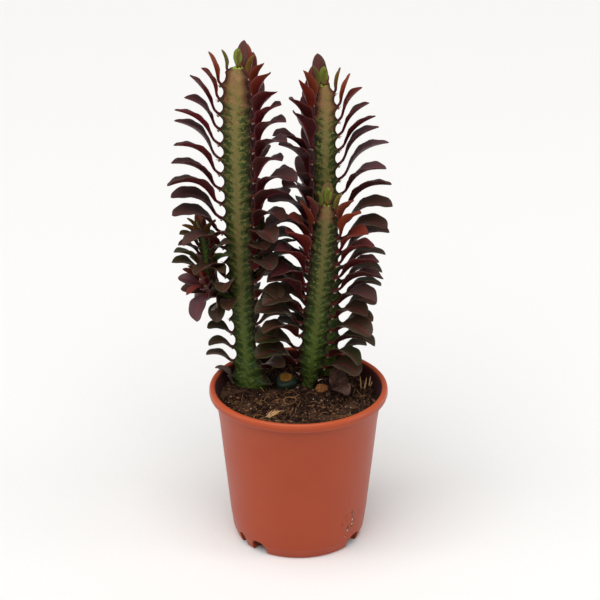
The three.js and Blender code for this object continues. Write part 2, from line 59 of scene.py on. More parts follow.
MM = 0.001
UP = np.array([0.0, 0.0, 1.0])
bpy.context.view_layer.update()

# ------------------------------------------------------------------ pot and soil, in millimetres
POT_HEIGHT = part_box("pot")[1].z / MM
RIM_RADIUS = 60.0
LIP_DROP = 6.6
WALL = 1.3
FOOT_RADIUS = 42.2
FOOT_RING = 5.0
PAD_RADIUS = 12.0
FLOOR_RISE = 2.6
FLOOR_TOP = FLOOR_RISE + 1.8
WALL_OUTLINE = [(20, 46.4), (68, 51.4), (86, 53.2), (103.4, 55.8)]      # height, radius
INNER_OUTLINE = [(FLOOR_TOP, 42.4), (7, 44.3), *WALL_OUTLINE[:-1]]   # before the wall comes off
NOTCH_HEIGHT = 9.0
NOTCHES = [(-59, 10), (-38, 16), (58, 18), (121, 10), (142, 16), (-122, 18)]   # bearing, width
NOTCH_FROM, NOTCH_TO = 32.7, 48.7                                       # distances from the axis
POT_COLUMNS = 192
EDGE_ROUNDING = 0.9
SHARP_EDGE = 40.0               # degrees between two faces
SPLASH = (0.0360, -0.030, 0.0205)       # middle of the dried splashes, in metres

SOIL_TOP = 98.5
COLLAR_TOP = 100.5
SOIL_EDGE = 53.4
SOIL_GAP = 0.4                  # between the soil and the wall
SOIL_COLUMNS, SOIL_RINGS = 260, 90
FIBRE_SPREAD = 49.0             # where the fibres start, within this distance of the axis
FIBRE_LIMIT = 51.5              # how far from the axis they may lie
SEAT_FADE = 9.0
GROUND = 101.0                  # height at which the stems leave the soil
STUMP = dict(x=-8.6, y=18, radius=7.3, top=107.0, plug=4.5, depth=12)
CHIP = dict(x=15.6, y=12, long=8.4, wide=6.6, thick=2.0, turn=12, seat=99.2, tilt=0.35)

# ------------------------------------------------------------------ growth, the rule of the solids
CAP = [(0, 0.34), (3, 0.6), (8, 0.84), (16, 0.95), (28, 1)]      # below the tip, share of reach
BLUNT_CAP = [(0, 0.5), (2, 0.66), (6, 0.84), (14, 0.96), (24, 1)]   # of the fine skin
FULLNESS = 1.13                 # the fine skin's teeth, as a share of the solids' ribs
TIP_CROWDING = 2.5
TWIG_TOOTH, TWIG_SPINE, TWIG_BUD = 0.5, 0.6, 0.45   # shares of a stem's
PLUG_DEPTH = 27.0
BLADE_THICK = 1.3
BLADE_FOLD = 24.0
ROOT_SINK = 1.6
SPRING_OUT = 38.0
LOWEST_LEAF = 7.0               # above the soil, along the stem
POT_CLEAR = (50, 114)           # beyond this radius leaves stay above this height
SOIL_CLEAR = 4.0
STEM_CLEAR = 3.6                # beyond the widest rib of another plant; in one's own 1 less
CLEAR_OWN = 2.4
CLEAR_OTHER = 5.2
FILL_CLEAR = 0.8                # of the leaves that only the fine plant has
SWELL = [(0, 0, 0), (30, 0.27, 0.07), (90, 0.27, 0.07), (112, 0.27, -0.04)]   # drop, wider, longer
PHASES = (0.0, 1 / 3, -1 / 3)   # of the teeth on the three ribs
# How widely leaves of one place vary: shares of the size, degrees.
SPREAD = dict(length=0.16, width=0.14, rise=8, droop=24, roll=40, bearing=26)
TALL_LEAF = dict(
    length=[(0, 15), (8, 23), (19, 28), (30, 33), (42, 37), (55, 40), (80, 42), (110, 41),
            (150, 34), (180, 25)],
    width=[(0, 5), (8, 8), (20, 11), (35, 12.5), (60, 13.5), (90, 14.5), (150, 14), (180, 10)],
    rise=[(0, 90), (12, 82), (30, 74), (60, 67), (90, 60), (120, 54), (200, 44)],
    droop=[(0, 72), (10, 58), (25, 44), (40, 28), (55, 14), (80, 2), (110, -14), (150, -24),
           (200, -16)])
SHORT_LEAF = dict(
    length=[(0, 13), (8, 21), (18, 28), (30, 33), (50, 38), (90, 40), (140, 36)],
    width=[(0, 5), (8, 8.5), (20, 12), (35, 14), (60, 16), (140, 16)],
    rise=[(0, 90), (12, 82), (30, 72), (60, 58), (90, 48), (140, 40)],
    droop=[(0, 66), (10, 50), (25, 32), (40, 8), (60, -14), (90, -26), (140, -30)])
TWIG_LEAF = dict(
    length=[(0, 12), (6, 17), (14, 22), (30, 24), (60, 24)],
    width=[(0, 4), (6, 7), (14, 9.5), (30, 10.5), (60, 11)],
    rise=[(0, 85), (10, 70), (25, 54), (60, 44)],
    droop=[(0, 50), (8, 28), (20, 2), (40, -12), (60, -14)])
PLANTS = ("stem_left", "stem_front", "stem_right")


def every_rib(start, stop):
    """The same bare stretch on all three ribs."""
    return [(rib, start, stop) for rib in range(3)]


# A bare stretch is (rib, from, to) below the tip, late_bare for the leaves that only the fine
# plant has; youth makes leaves look younger or older, foot is each rib's flare at the soil.
STEMS = [
    dict(name="front", plant="stem_front", seed=23, pitch=9.6, ribs=(-60, 58, 178),
         leaf=SHORT_LEAF, plug=4, axis=[(6.6, 18, GROUND), (14.5, 17, 165), (18.6, 13, 234)],
         reach=[(0, 5), (9, 7.6), (20, 10.8), (35, 11.2), (60, 10.8), (100, 10), (130, 9.4)],
         bare=[(0, 118, 140), (1, 122, 140), (2, 112, 140)],
         late_bare=[(0, 110, 140), (1, 118, 140), (2, 118, 140)], youth=0.7,
         swell={1: [(0, 0, 0), (30, 0.27, 0.07), (60, 0.27, 0), (85, 0.22, -0.12)]}),
    dict(name="left", plant="stem_left", seed=11, pitch=10.4, ribs=(-74, 46, 166),
         leaf=TALL_LEAF, plug=8, axis=[(-33, 23, GROUND), (-40.5, 23.6, 200), (-39, 24, 325)],
         reach=[(0, 13.5), (10, 12), (20, 9.6), (35, 9.4), (60, 10.4), (100, 11.4), (140, 12.2),
                (230, 12.4)],
         bare=[(0, 112, 178), (0, 208, 230), (1, 150, 168), (1, 186, 230), (2, 200, 230)],
         late_bare=[(0, 168, 178), (0, 200, 230), (1, 217, 230), (2, 205, 230)],
         swell={0: [(0, 0, 0), (70, 0.04, 0.06), (105, 0.25, 0.1), (125, 0.25, 0.1),
                    (150, 0.2, 0), (180, 0.15, -0.22)]},
         foot=(0, 0.5, 0)),
    dict(name="right", plant="stem_right", seed=37, pitch=10.4, ribs=(-44, 76, 196),
         leaf=TALL_LEAF, plug=5.5, axis=[(18.5, 38, GROUND), (16, 42, 200), (16.6, 43, 306)],
         reach=[(0, 8), (20, 11), (40, 12.1), (122, 12.1), (132, 10.6), (150, 9.9), (210, 9.8)],
         bare=every_rib(186, 220), late_bare=every_rib(190, 220),
         swell={0: [(0, 0.1, 0.2), (12, 0.4, 0.2), (60, 0.35, 0.1)],
                1: [(0, 0, 0), (60, 0.04, 0.05), (120, 0.2, -0.1), (180, 0.2, -0.15)],
                2: [(0, 0.3, 0.15), (15, 0.6, 0.12), (70, 0.5, 0.1), (112, 0.27, -0.04)]}),
    dict(name="knob", plant="stem_left", seed=41, pitch=5.6, ribs=(-110, 10, 130),
         leaf=TWIG_LEAF, plug=0, axis=[(-42, 22.4, 164), (-56, 19, 164), (-62.5, 16.5, 182)],
         reach=[(0, 3), (8, 4), (18, 6.4), (60, 6.2)], bare=[(2, 22, 40)],
         late_bare=[(2, 22, 40)], green=0.3, youth=4.0),
    dict(name="side_twig", plant="stem_left", seed=53, pitch=6.4, ribs=(-60, 60, 180),
         leaf=TWIG_LEAF, plug=0, axis=[(-60.5, 17.5, 172), (-60, 18, 198), (-65, 20, 215)],
         reach=[(0, 2.4), (16, 2.6), (30, 3.6), (60, 3.8)],
         bare=every_rib(28, 60), late_bare=every_rib(40, 60), green=0.6, youth=2.5),
    dict(name="back_twig", plant="stem_left", seed=67, pitch=6.6, ribs=(-20, 100, 220),
         leaf=TWIG_LEAF, plug=0, axis=[(-36, 30, 166), (-25, 42, 176), (-24, 44, 208)],
         reach=[(0, 3), (8, 4.4), (60, 4.8)], bare=every_rib(30, 60),
         late_bare=every_rib(40, 60), green=0.9),
]
# Round leaves that hang under the knob: along it, bearing, length, width, rise, droop.
HANGING = [(20, -45, 24, 13.5, -32, -86), (9, -22, 18, 10.5, -20, -86),
           (25, -84, 15, 6.5, -6, -40)]
# Leaflets over a growing point: bearing, drop, length, width.
BUDS = [(-8, 0.0, 15.0, 6.4), (62, 2.6, 14.0, 5.6), (170, 0.5, 5, 3)]
TURNS = [(0, 0), (12, 0), (-12, 0), (0, 9), (0, -9), (24, 4), (-24, 4), (36, 0), (-36, 0),
         (24, -12), (-24, -12), (48, 0), (-48, 0), (62, 6), (-62, 6)]   # degrees round, and up
LEAF_ACROSS = np.array([1, 0.92, 0.72, 0.42, 0.16, 0, -0.16, -0.42, -0.72, -0.92])
DEAD_LEAF = dict(x=20, y=5, bearing=42, seat=98.8, lowest=99.1, wrinkle=1.6, blade=dict(
    length=23, width=13, rise=SPRING_OUT + 14, droop=-24, roll=8, tone=0.0))
HUNG_LEAF = dict(x=25.5, y=0, bearing=172, lowest=98.6, wrinkle=1.2, blade=dict(
    length=24, width=13, rise=SPRING_OUT + 40, droop=62, roll=24, tone=0.0))
RIM_LEAF = dict(x=-43.5, y=17, bearing=-100, lowest=101.0, wrinkle=0.5, blade=dict(
    length=19, width=9, rise=SPRING_OUT + 40, droop=-6, roll=10, tone=0.45))

# ------------------------------------------------------------------ floor, lights and view
FLOOR_HALF = 6000                # millimetres
SUN_TILT = (24, -8)              # degrees about X and Y
SUN_SPREAD = 70                  # degrees across
PANELS = {"panel_left": (-1.25, -0.25, 0.4), "panel_right": (1.1, -0.25, 0.4)}   # metres
PANEL_SIZE = (0.4, 1.2)
PANEL_AIM = (0, 0, 0.15)
CAMERA_AT = (0.0, -1.5, 0.8557)  # metres
CAMERA_PITCH = 24.5              # degrees below level
CAMERA_LENS = 149.8
CAMERA_SHIFT = 0.0025            # brings the pot's axis to where the photograph has it


# ------------------------------------------------------------------ numbers
def ramp(stops, x):
    """Straight lines between (place, value) stops, level beyond them."""
    places, values = zip(*stops)
    return np.interp(x, places, values)


def ease(x):
    """3t^2 - 2t^3, with t held between 0 and 1."""
    t = np.clip(x, 0.0, 1.0)
    return t * t * (3 - 2 * t)


def blend(a, b, share):
    """From a at share 0 to b at share 1."""
    return a + (b - a) * share


def curve(a, b, c, u):
    """The quadratic curve from a to c that b pulls, at u from 0 to 1."""
    return (1 - u) ** 2 * a + 2 * u * (1 - u) * b + u * u * c


def unit(v):
    """Vectors made one long."""
    return v / np.linalg.norm(v, axis=-1, keepdims=True)


def around(count):
    """Angles of evenly spaced points round a circle."""
    return np.arange(count) * 2 * np.pi / count


def draws(seed):
    """Endless repeatable numbers from 0 to 1, the same sequence as in the solids."""
    state = seed
    while True:
        state = (state * 1664525 + 1013904223) % 4294967296
        yield state / 4294967296


def lattice(x, y, z, seed):
    """A repeatable number from 0 to 1 for each whole-numbered place."""
    h = (x * 374761393 + y * 668265263 + z * 1440662683 + seed * 974634777) & 0xFFFFFFFF
    h = ((h ^ (h >> 13)) * 1274126177) & 0xFFFFFFFF
    return ((h ^ (h >> 16)) & 0xFFFF) / 65535.0


def noise(points, size, seed):
    """Value noise from -1 to 1: lattice numbers a given size apart, blended by eased weights."""
    scaled = np.asarray(points, float) / size
    low = np.floor(scaled).astype(np.int64)
    part = ease(scaled - low)
    total = 0.0
    for corner in range(8):
        step = np.array([corner & 1, (corner >> 1) & 1, corner >> 2])
        weight = np.prod(np.where(step, part, 1 - part), axis=-1)
        x, y, z = np.moveaxis(low + step, -1, 0)
        total = total + weight * lattice(x, y, z, seed)
    return 2 * total - 1


def fractal(points, size, octaves, seed):
    """Noise at halving sizes and halving heights."""
    return sum(noise(points, size / 2 ** i, seed + i) / 2 ** i for i in range(octaves))


# ------------------------------------------------------------------ meshes
def rounds(radius, angle, height, x=0.0, y=0.0):
    """Points at radii and angles about an upright line, at heights."""
    px, py = x + radius * np.cos(angle), y + radius * np.sin(angle)
    return np.stack([px, py, np.broadcast_to(height, px.shape)], -1)


def tubes(lines, across, over, width):
    """Five-sided rings round lines (n, rows, 3), of a width in the plane of two directions."""
    angle = around(5)[:, None]
    ring = np.cos(angle) * across[:, :, None] + np.sin(angle) * over[:, :, None]
    return lines[:, :, None] + width[..., None, None] * ring


def shells(rings, first, last):
    """Closed skins from rings (n, rows, columns, 3) with a pole (n, 3) at each end. They face
    outwards where the rings run anticlockwise seen from the last pole."""
    n, rows, columns, _ = rings.shape
    size = rows * columns + 2
    points = np.concatenate([rings.reshape(n, -1, 3), first[:, None], last[:, None]], 1)
    c = np.arange(columns)
    d = (c + 1) % columns
    r = np.arange(rows - 1)[:, None] * columns
    walls = np.stack([r + c, r + d, r + columns + d, r + columns + c], -1).reshape(-1, 4)
    end = (rows - 1) * columns
    low = np.stack([np.full(columns, size - 2), d, c], -1)
    high = np.stack([np.full(columns, size - 1), end + c, end + d], -1)
    step = (np.arange(n) * size)[:, None, None]
    return points.reshape(-1, 3), [(f + step).reshape(-1, f.shape[1]) for f in (walls, low, high)]


def shell(rings, first, last):
    """One closed skin from rings (rows, columns, 3)."""
    return shells(rings[None], np.array([first], float), np.array([last], float))


def each_point(values, first, last):
    """Values (n, rows, columns) in the point order of shells, with the poles' values."""
    n = len(values)
    ends = [np.broadcast_to(np.asarray(v, float).reshape(-1, 1), (n, 1)) for v in (first, last)]
    return np.concatenate([values.reshape(n, -1), *ends], 1).ravel()


def toned(rings, first, last, tone):
    """Closed skins, each of one tone."""
    shade = np.broadcast_to(tone[:, None, None], rings.shape[:3])
    return *shells(rings, first, last), dict(tone=each_point(shade, tone, tone))


def gather(parts):
    """Several (points, faces, attributes) as one."""
    points, faces, values, start = [], [], {}, 0
    for part_points, part_faces, part_values in parts:
        points.append(part_points)
        faces += [block + start for block in part_faces]
        for key, numbers in part_values.items():
            values.setdefault(key, []).append(numbers)
        start += len(part_points)
    return np.concatenate(points), faces, {k: np.concatenate(v) for k, v in values.items()}


def new_mesh(name, points, faces):
    """A mesh from points in millimetres and blocks of faces."""
    mesh = bpy.data.meshes.new(name)
    mesh.from_pydata((points * MM).tolist(), [], [f for block in faces for f in block.tolist()])
    return mesh


def new_object(name, data):
    """An object of the scene that shows a mesh, a light or a camera."""
    made = bpy.data.objects.new(name, data)
    bpy.context.scene.collection.objects.link(made)
    return made


def make_piece(name, skin, build, replaces=()):
    """A mesh object at the origin that rides with the pot, from (points, faces, attributes),
    in the material that a function builds."""
    points, faces, attributes = skin
    mesh = new_mesh(name, points, faces)
    for key, values in attributes.items():
        layer = mesh.attributes.new(key, "FLOAT", "POINT")
        layer.data.foreach_set("value", np.asarray(values, np.float32))
    mesh.polygons.foreach_set("use_smooth", np.ones(len(mesh.polygons), bool))
    mesh.update()
    mesh.materials.append(finish(build))
    piece = new_object(name, mesh)
    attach(piece, "root")
    if replaces:
        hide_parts(*replaces)
    return piece


# ------------------------------------------------------------------ materials
# What a node has unless its call says otherwise: settings, order of the inputs, output.
USUAL = {
    "Mix": (dict(data_type="RGBA"), (0, 6, 7), 2),
    "MapRange": (dict(interpolation_type="SMOOTHSTEP"), range(5), 0),
    "Math": (dict(operation="MULTIPLY_ADD"), range(3), 0),
    "TexNoise": ({}, ("Vector", "Scale", "Detail", "Roughness", "Distortion"), 0),
    "Bump": ({}, ("Height", "Strength", "Distance"), 0),
    "TexCoord": ({}, (), "Object"),
    "Attribute": ({}, (), "Fac"),
}
EVEN = dict(interpolation_type="LINEAR")        # a straight line in place of the smooth step


def linear(code):
    """An sRGB hex colour as linear RGBA."""
    channels = [int(code[i:i + 2], 16) / 255 for i in (1, 3, 5)]
    return tuple(c / 12.92 if c <= 0.04045 else ((c + 0.055) / 1.055) ** 2.4
                 for c in channels) + (1.0,)


def add(tree, kind, inputs=(), out=None, stops=(), **settings):
    """Add a shader node and give its output `out`. Settings are its properties; inputs are in
    order or by name, each a value, an sRGB hex or the output that it is linked from; stops are
    a colour ramp's (place, hex or colour)."""
    usual, order, result = USUAL.get(kind, ({}, range(5), 0))
    node = tree.nodes.new("ShaderNode" + kind)
    for key, value in {**usual, **settings}.items():
        setattr(node, key, value)
    if not isinstance(inputs, dict):
        inputs = dict(zip(order, inputs))
    for key, value in inputs.items():
        if isinstance(value, bpy.types.NodeSocket):
            tree.links.new(value, node.inputs[key])
        else:
            node.inputs[key].default_value = linear(value) if isinstance(value, str) else value
    for i, (place, code) in enumerate(stops):
        ends = node.color_ramp.elements
        element = ends[i] if i < len(ends) else ends.new(1.0)
        element.position = place
        element.color = linear(code) if isinstance(code, str) else code
    return node.outputs[result if out is None else out] if node.outputs else node


def finish(build):
    """The material that a function builds, named after it, made once and shared."""
    made = bpy.data.materials.get(build.__name__)
    if made is None:
        made = bpy.data.materials.new(build.__name__)
        made.use_nodes = True
        made.node_tree.nodes.clear()
        add(made.node_tree, "OutputMaterial", {"Surface": build(partial(add, made.node_tree))})
    return made


def per(size):
    """Scale of a pattern whose grains are a size in millimetres."""
    return 1 / (size * MM)


def moulded_polypropylene(new):
    """Terracotta-coloured polypropylene, injection moulded: an even satin skin with a broad soft
    gloss, a lip coloured lighter as a painted highlight from the light above, a painted shadow
    under the lip, dried splashes outside and soil stains with painted shade inside."""
    colours = bpy.context.scene.euphorbia_pot
    place = new("TexCoord")
    split = new("SeparateXYZ", (place,)).node
    height = split.outputs["Z"]
    cloud = new("TexNoise", (place, per(26), 3))
    # Painted highlight: the top of the lip is coloured lighter, for the light that falls on it
    # from above.
    lip = new("MapRange", (height, 0.1062, 0.1092, 0.0, 0.85))
    # Painted shadow: a darker band on the wall in the corner under the lip, where the lip shades
    # it.
    lip_shadow = new("MapRange", (height, 0.1010, 0.1030, 0.0, 0.6))
    under = new("MapRange", (height, 0.1036, 0.1044, 1.0, 0.0), **EVEN)
    lip_shadow = new("Math", (lip_shadow, under), operation="MULTIPLY")
    # Scuffs: pale hair-fine rubs a few millimetres long.
    rub = new("TexNoise", (place, per(3.5), 6, 0.7))
    rub = new("MapRange", (rub, 0.62, 0.74, 0.0, 0.25))
    # Dried drops about 3 mm across, each with a pale middle and a dark edge.
    away = new("VectorMath", (place, SPLASH), "Value", operation="DISTANCE")
    zone = new("MapRange", (away, 0.012, 0.009))
    bend = new("TexNoise", (place, per(2.6), 2), "Color")
    bend = new("VectorMath", (bend, (1.4 * MM,) * 3, place), operation="MULTIPLY_ADD")
    drops = new("TexVoronoi", {"Vector": bend, "Scale": per(3.8)}).node
    apart = drops.outputs["Distance"]
    some = new("MapRange", (drops.outputs["Color"], 0.44, 0.48), **EVEN)
    some = new("Math", (zone, some), operation="MULTIPLY")
    splash = new("MapRange", (apart, 0.44, 0.34, 0.0, 0.85))
    splash = new("Math", (some, splash), operation="MULTIPLY")
    mud = new("ValToRGB", (apart,), stops=[(0.15, "#cbb9a4"), (0.28, "#55341f")])
    # Inside, where radius - 0.15 height is under 39.8 mm, and above the floor, the wall darkens
    # towards the soil up to the lip: soil stains together with painted shade inside the pot.
    level = new("CombineXYZ", (split.outputs["X"], split.outputs["Y"], 0.0))
    radius = new("VectorMath", (level,), "Value", operation="LENGTH")
    lean = new("Math", (height, -0.15, radius))
    inside = new("MapRange", (lean, 0.0400, 0.0396))
    over = new("MapRange", (height, 0.02, 0.03), **EVEN)
    inside = new("Math", (inside, over), operation="MULTIPLY")
    ragged = new("Math", (cloud, 0.006, height))
    stain_and_shade = new("MapRange", (ragged, 0.1060, 0.1130), **EVEN)
    stain_and_shade = new("ValToRGB", (stain_and_shade,), stops=[
        (0.0, "#380b06"), (0.4, "#3d0e07"), (0.75, "#551a0d"), (1.0, "#94361a")])
    wall = new("Mix", (cloud, colours.wall, colours.wall_light))
    for share, shade in ((lip, colours.lip), (lip_shadow, "#6a2512"), (rub, "#b9674a"), (splash, mud),
                         (inside, stain_and_shade)):
        wall = new("Mix", (share, wall, shade))
    rough = new("MapRange", (cloud, 0.3, 0.7, 0.36, 0.46), **EVEN)
    for share, more in ((splash, 0.4), (lip, -0.1), (inside, 0.5)):
        rough = new("Math", (share, more, rough))
    skin = new("TexNoise", (place, per(0.9), 2))
    normal = new("Bump", (skin, 0.4, 0.03 * MM))
    return new("BsdfPrincipled", {
        "Base Color": wall, "Roughness": rough, "IOR": 1.49, "Specular IOR Level": 0.32,
        "Normal": normal, "Sheen Weight": 0.05, "Sheen Roughness": 0.4, "Sheen Tint": "#c9c3dc"})


def peat_soil(new):
    """Peat potting soil: matt dark brown crumbs, near-black patches of painted shade for the
    hollows, and tan dust.
    """
    colours = bpy.context.scene.euphorbia_soil
    place = new("TexCoord")
    cloud = new("TexNoise", (place, per(2.0), 6, 0.7))
    # The near-black first stop is painted shade, for the dark hollows between the crumbs.
    crumb = new("ValToRGB", (cloud,), stops=[
        (0.34, "#070302"), (0.47, colours.dark), (0.6, colours.light), (0.76, "#6d4d3a")])
    crumb = new("Mix", (new("Attribute", attribute_name="tone"), crumb, "#866249"))
    grit = new("TexNoise", (place, per(0.7), 5, 0.7))
    normal = new("Bump", (grit, 1.0, 0.8 * MM))
    return new("BsdfPrincipled", {"Base Color": crumb, "Roughness": 0.95, "Normal": normal,
                                  "Specular IOR Level": 0.1})


def coir_fibre(new):
    """Coir and straw, dried: dull strands from dark brown to straw yellow, streaked."""
    place = new("TexCoord")
    strand = new("ValToRGB", (new("Attribute", attribute_name="tone"),), stops=[
        (0.0, "#1f110a"), (0.5, "#4f301d"), (0.8, "#a67746"), (1.0, "#dcb07a")])
    streak = new("TexNoise", (place, per(0.6), 3))
    streak = new("MapRange", (streak, 0.4, 0.7, 0.0, 0.4))
    strand = new("Mix", (streak, strand, "#38231a"))
    return new("BsdfPrincipled", {"Base Color": strand, "Roughness": 0.8})


def expanded_perlite(new):
    """Perlite, puffed by heat: matt off-white foamy grains with soil in the pores."""
    pores = new("TexNoise", (new("TexCoord"), per(0.6), 3))
    colour = new("ValToRGB", (pores,), stops=[(0.35, "#84725f"), (0.62, "#d9cdbb")])
    normal = new("Bump", (pores, 0.8, 0.2 * MM))
    return new("BsdfPrincipled", {"Base Color": colour, "Roughness": 0.9, "Normal": normal,
                                  "Specular IOR Level": 0.2})


def waxy_marbled_skin(new):
    """Succulent skin under a thin wax: dark green, marbled, with pale streaks that run from a
    pale band on each face out to the teeth; brown on the ribs, taupe at the growing tip."""
    colours = bpy.context.scene.euphorbia_plant
    place = new("TexCoord")
    face, beat, along, young = (
        new("Attribute", attribute_name=key) for key in ("face", "beat", "along", "young"))
    blotch = new("TexNoise", (place, per(4.2), 4, 0.62))
    fine = new("TexNoise", (place, per(1.2), 4, 0.65))
    off_blotch = new("Math", (blotch, -0.5), operation="ADD")
    off_fine = new("Math", (fine, -0.5), operation="ADD")
    # Streaks: two broad and five narrow ones to a tooth, bent by the blotches.
    bent = new("Math", (off_blotch, 1.1, beat))
    broad = new("Math", (bent, 4 * math.pi), operation="MULTIPLY")
    broad = new("Math", (broad,), operation="COSINE")
    narrow = new("Math", (fine, 5.0), operation="MULTIPLY")
    narrow = new("Math", (bent, 10 * math.pi, narrow))
    narrow = new("Math", (narrow,), operation="COSINE")
    comb = new("Math", (narrow, 0.6, broad))
    streak = new("Math", (off_fine, 2.2, comb))
    streak = new("MapRange", (streak, 0.2, 1.4, 0.0, 0.92))
    dark = new("MapRange", (blotch, 0.58, 0.42))
    green = new("Mix", (dark, colours.green, colours.blotch))
    tan = new("MapRange", (off_blotch, -0.05, 0.1))
    green = new("Mix", (streak, green, new("Mix", (tan, colours.streak, "#65502e"))))
    # The pale band down the middle of a face, with a border feathered by the streaks.
    border = face
    for wobble, share in ((comb, -0.09), (off_fine, 0.9), (off_blotch, 1.0)):
        border = new("Math", (wobble, share, border))
    band = new("MapRange", (border, 0.62, 0.14, 0.0, 0.88))
    middle = new("MapRange", (border, 0.25, -0.05, 0.0, 0.6))
    pale = new("Mix", (fine, colours.band, "#5a5c2c"))
    pale = new("Mix", (middle, pale, "#705a3c"))
    # Towards the soil the skin is older: a deeper green with a lighter green band.
    foot = new("MapRange", (along, 0.004, 0.03, 0.25, 1.0))
    foot = new("Math", (foot, band), operation="MULTIPLY")
    fleck = new("Math", (streak, 0.5), operation="MULTIPLY")
    aged = new("Mix", (fine, "#12200a", "#375018"))
    aged = new("Mix", (foot, aged, "#526c2a"))
    aged = new("Mix", (fleck, aged, "#6a8338"))
    old = new("MapRange", (along, 0.11, 0.015, 0.0, 0.75))
    # The growing tip: taupe to pinkish tan, red-brown at the ribs, lime at the very end.
    warm = new("MapRange", (blotch, 0.45, 0.62, 0.0, 0.6))
    ripe = new("MapRange", (face, 0.35, 0.9))
    tip = new("Mix", (fine, "#7b5f3c", "#5f5526"))
    tip = new("Mix", (warm, tip, "#7f5a44"))
    tip = new("Mix", (ripe, tip, "#4f2a1c"))
    fresh = young
    for wobble, share in ((off_blotch, 1.6), (off_fine, 0.5)):
        fresh = new("Math", (wobble, share, fresh))
    fresh = new("MapRange", (fresh, 0.42, 0.82, 0.0, 0.9))
    lime = new("MapRange", (young, 1.04, 1.07, 0.0, 0.9))
    # Corky brown along the ribs' edges.
    edge = new("Math", (off_fine, 0.9, face))
    edge = new("MapRange", (edge, 0.72, 0.98, 0.0, 0.85))
    skin = green
    for share, shade in ((band, pale), (old, aged), (fresh, tip), (lime, "#7a9432"),
                         (edge, "#2c1712")):
        skin = new("Mix", (share, skin, shade))
    # Higher up the skin is lighter. Lenticels are dark dots.
    lighter = new("MapRange", (along, 0.05, 0.19, 0.95, 1.6), **EVEN)
    skin = new("HueSaturation", {"Value": lighter, "Color": skin})
    dots = new("TexVoronoi", {"Vector": place, "Scale": per(3.0)}, "Distance")
    dots = new("MapRange", (dots, 0.17, 0.10, 0.0, 0.6))
    skin = new("Mix", (dots, skin, "#14180a"))
    height = new("Math", (fine, 1.5, comb))
    normal = new("Bump", (height, 0.5, 0.1 * MM))
    rough = new("MapRange", (fine, 0.3, 0.7, 0.42, 0.56), **EVEN)
    rough = new("Math", (edge, 0.35, rough))
    return new("BsdfPrincipled", {"Base Color": skin, "Roughness": rough, "IOR": 1.42,
                                  "Specular IOR Level": 0.2, "Normal": normal})


def satin_leaf_skin(new):
    """Fleshy leaf with a satin cuticle: dusty mauve above, dark red below with a crimson midrib
    and stalk; the youngest lime to orange-brown, the lowest olive-brown, those of twigs green."""
    colours = bpy.context.scene.euphorbia_plant
    place = new("TexCoord")
    upper, across, stalk, age, wear, tone, luck, fresh_green = (
        new("Attribute", attribute_name=key)
        for key in ("upper", "across", "stalk", "age", "wear", "tone", "luck", "green"))
    cloud = new("TexNoise", (place, per(7), 4, 0.6))
    fleck = new("TexNoise", (place, per(0.9), 3, 0.6))
    dusty = new("MapRange", (luck, 0.45, 0.9, 0.0, 0.75))
    olive = new("MapRange", (tone, 0.5, 1.0, 0.0, 0.7))
    old = new("MapRange", (wear, 0.32, 0.75, 0.0, 0.85))
    worn = new("Mix", (tone, "#2b3112", "#422f1f"))
    over = new("Mix", (cloud, colours.leaf_over, "#4a2529"))
    for share, shade in ((dusty, "#5d3f43"), (olive, "#3c2a1c"), (old, worn)):
        over = new("Mix", (share, over, shade))
    glow = new("MapRange", (tone, 0.4, 0.95, 0.0, 0.6))
    # Painted shade: undersides of leaves low on the stem darken, for the shade of the leaves
    # above.
    shaded = new("MapRange", (wear, 0.18, 0.5, 0.0, 0.85))
    under = new("Mix", (cloud, colours.leaf_under, "#471315"))
    under = new("Mix", (glow, under, "#6c1b22"))
    under = new("Mix", (shaded, under, "#2f1714"))
    # Near the tip of a stem leaves are young; age is their drop below it over 200 mm.
    fresh = new("ValToRGB", (age,), stops=[
        (0.0, "#7c9634"), (0.004, "#68702f"), (0.018, "#7a6422"), (0.033, "#5d3a33"),
        (0.05, "#8a3f1e"), (0.10, "#7a2a18"), (0.18, "#561818")])
    young = new("MapRange", (age, 0.24, 0.06, 0.0, 0.9))
    lucky = new("MapRange", (luck, 0.0, 0.6, 0.55, 1.0), **EVEN)
    young = new("Math", (young, lucky), operation="MULTIPLY")
    leafy = new("Mix", (cloud, "#1c2f10", "#3f5a1c"))
    chance = new("Math", (luck, 0.5, fresh_green))
    chance = new("MapRange", (chance, 0.7, 1.1, 0.0, 0.9))
    # The midrib, crimson below and at the stalk, faint above.
    rib = new("MapRange", (across, 0.20, 0.03))
    below = new("MapRange", (upper, 1.0, 0.0, 0.25, 0.9), **EVEN)
    rib = new("Math", (rib, below), operation="MULTIPLY")
    foot = new("MapRange", (stalk, 0.38, 0.12, 0.0, 0.9))
    rim = new("MapRange", (across, 0.88, 1.0, 0.0, 0.5))
    margin = new("Mix", (old, "#6a3434", "#5f5a30"))
    # Pale flecks of wax on the upper face, about half a millimetre across.
    wax = new("MapRange", (fleck, 0.5, 0.72, 0.0, 0.22))
    wax = new("Math", (wax, upper), operation="MULTIPLY")
    blade = new("Mix", (upper, under, over))
    for share, shade in ((young, fresh), (chance, leafy), (rib, colours.midrib),
                         (foot, "#5a0d18"), (rim, margin), (wax, "#6b4d48")):
        blade = new("Mix", (share, blade, shade))
    rough = new("MapRange", (fleck, 0.3, 0.7, 0.38, 0.5), **EVEN)
    # Side veins leave the midrib about every 3 mm and lean to the tip.
    veins = new("Math", (stalk, 80.0), operation="MULTIPLY")
    veins = new("Math", (across, -12.0, veins))
    veins = new("Math", (veins,), operation="SINE")
    height = new("Math", (fleck, 2.0, veins))
    normal = new("Bump", (height, 0.5, 0.08 * MM))
    return new("BsdfPrincipled", {"Base Color": blade, "Roughness": rough, "IOR": 1.42,
                                  "Specular IOR Level": 0.28, "Normal": normal})


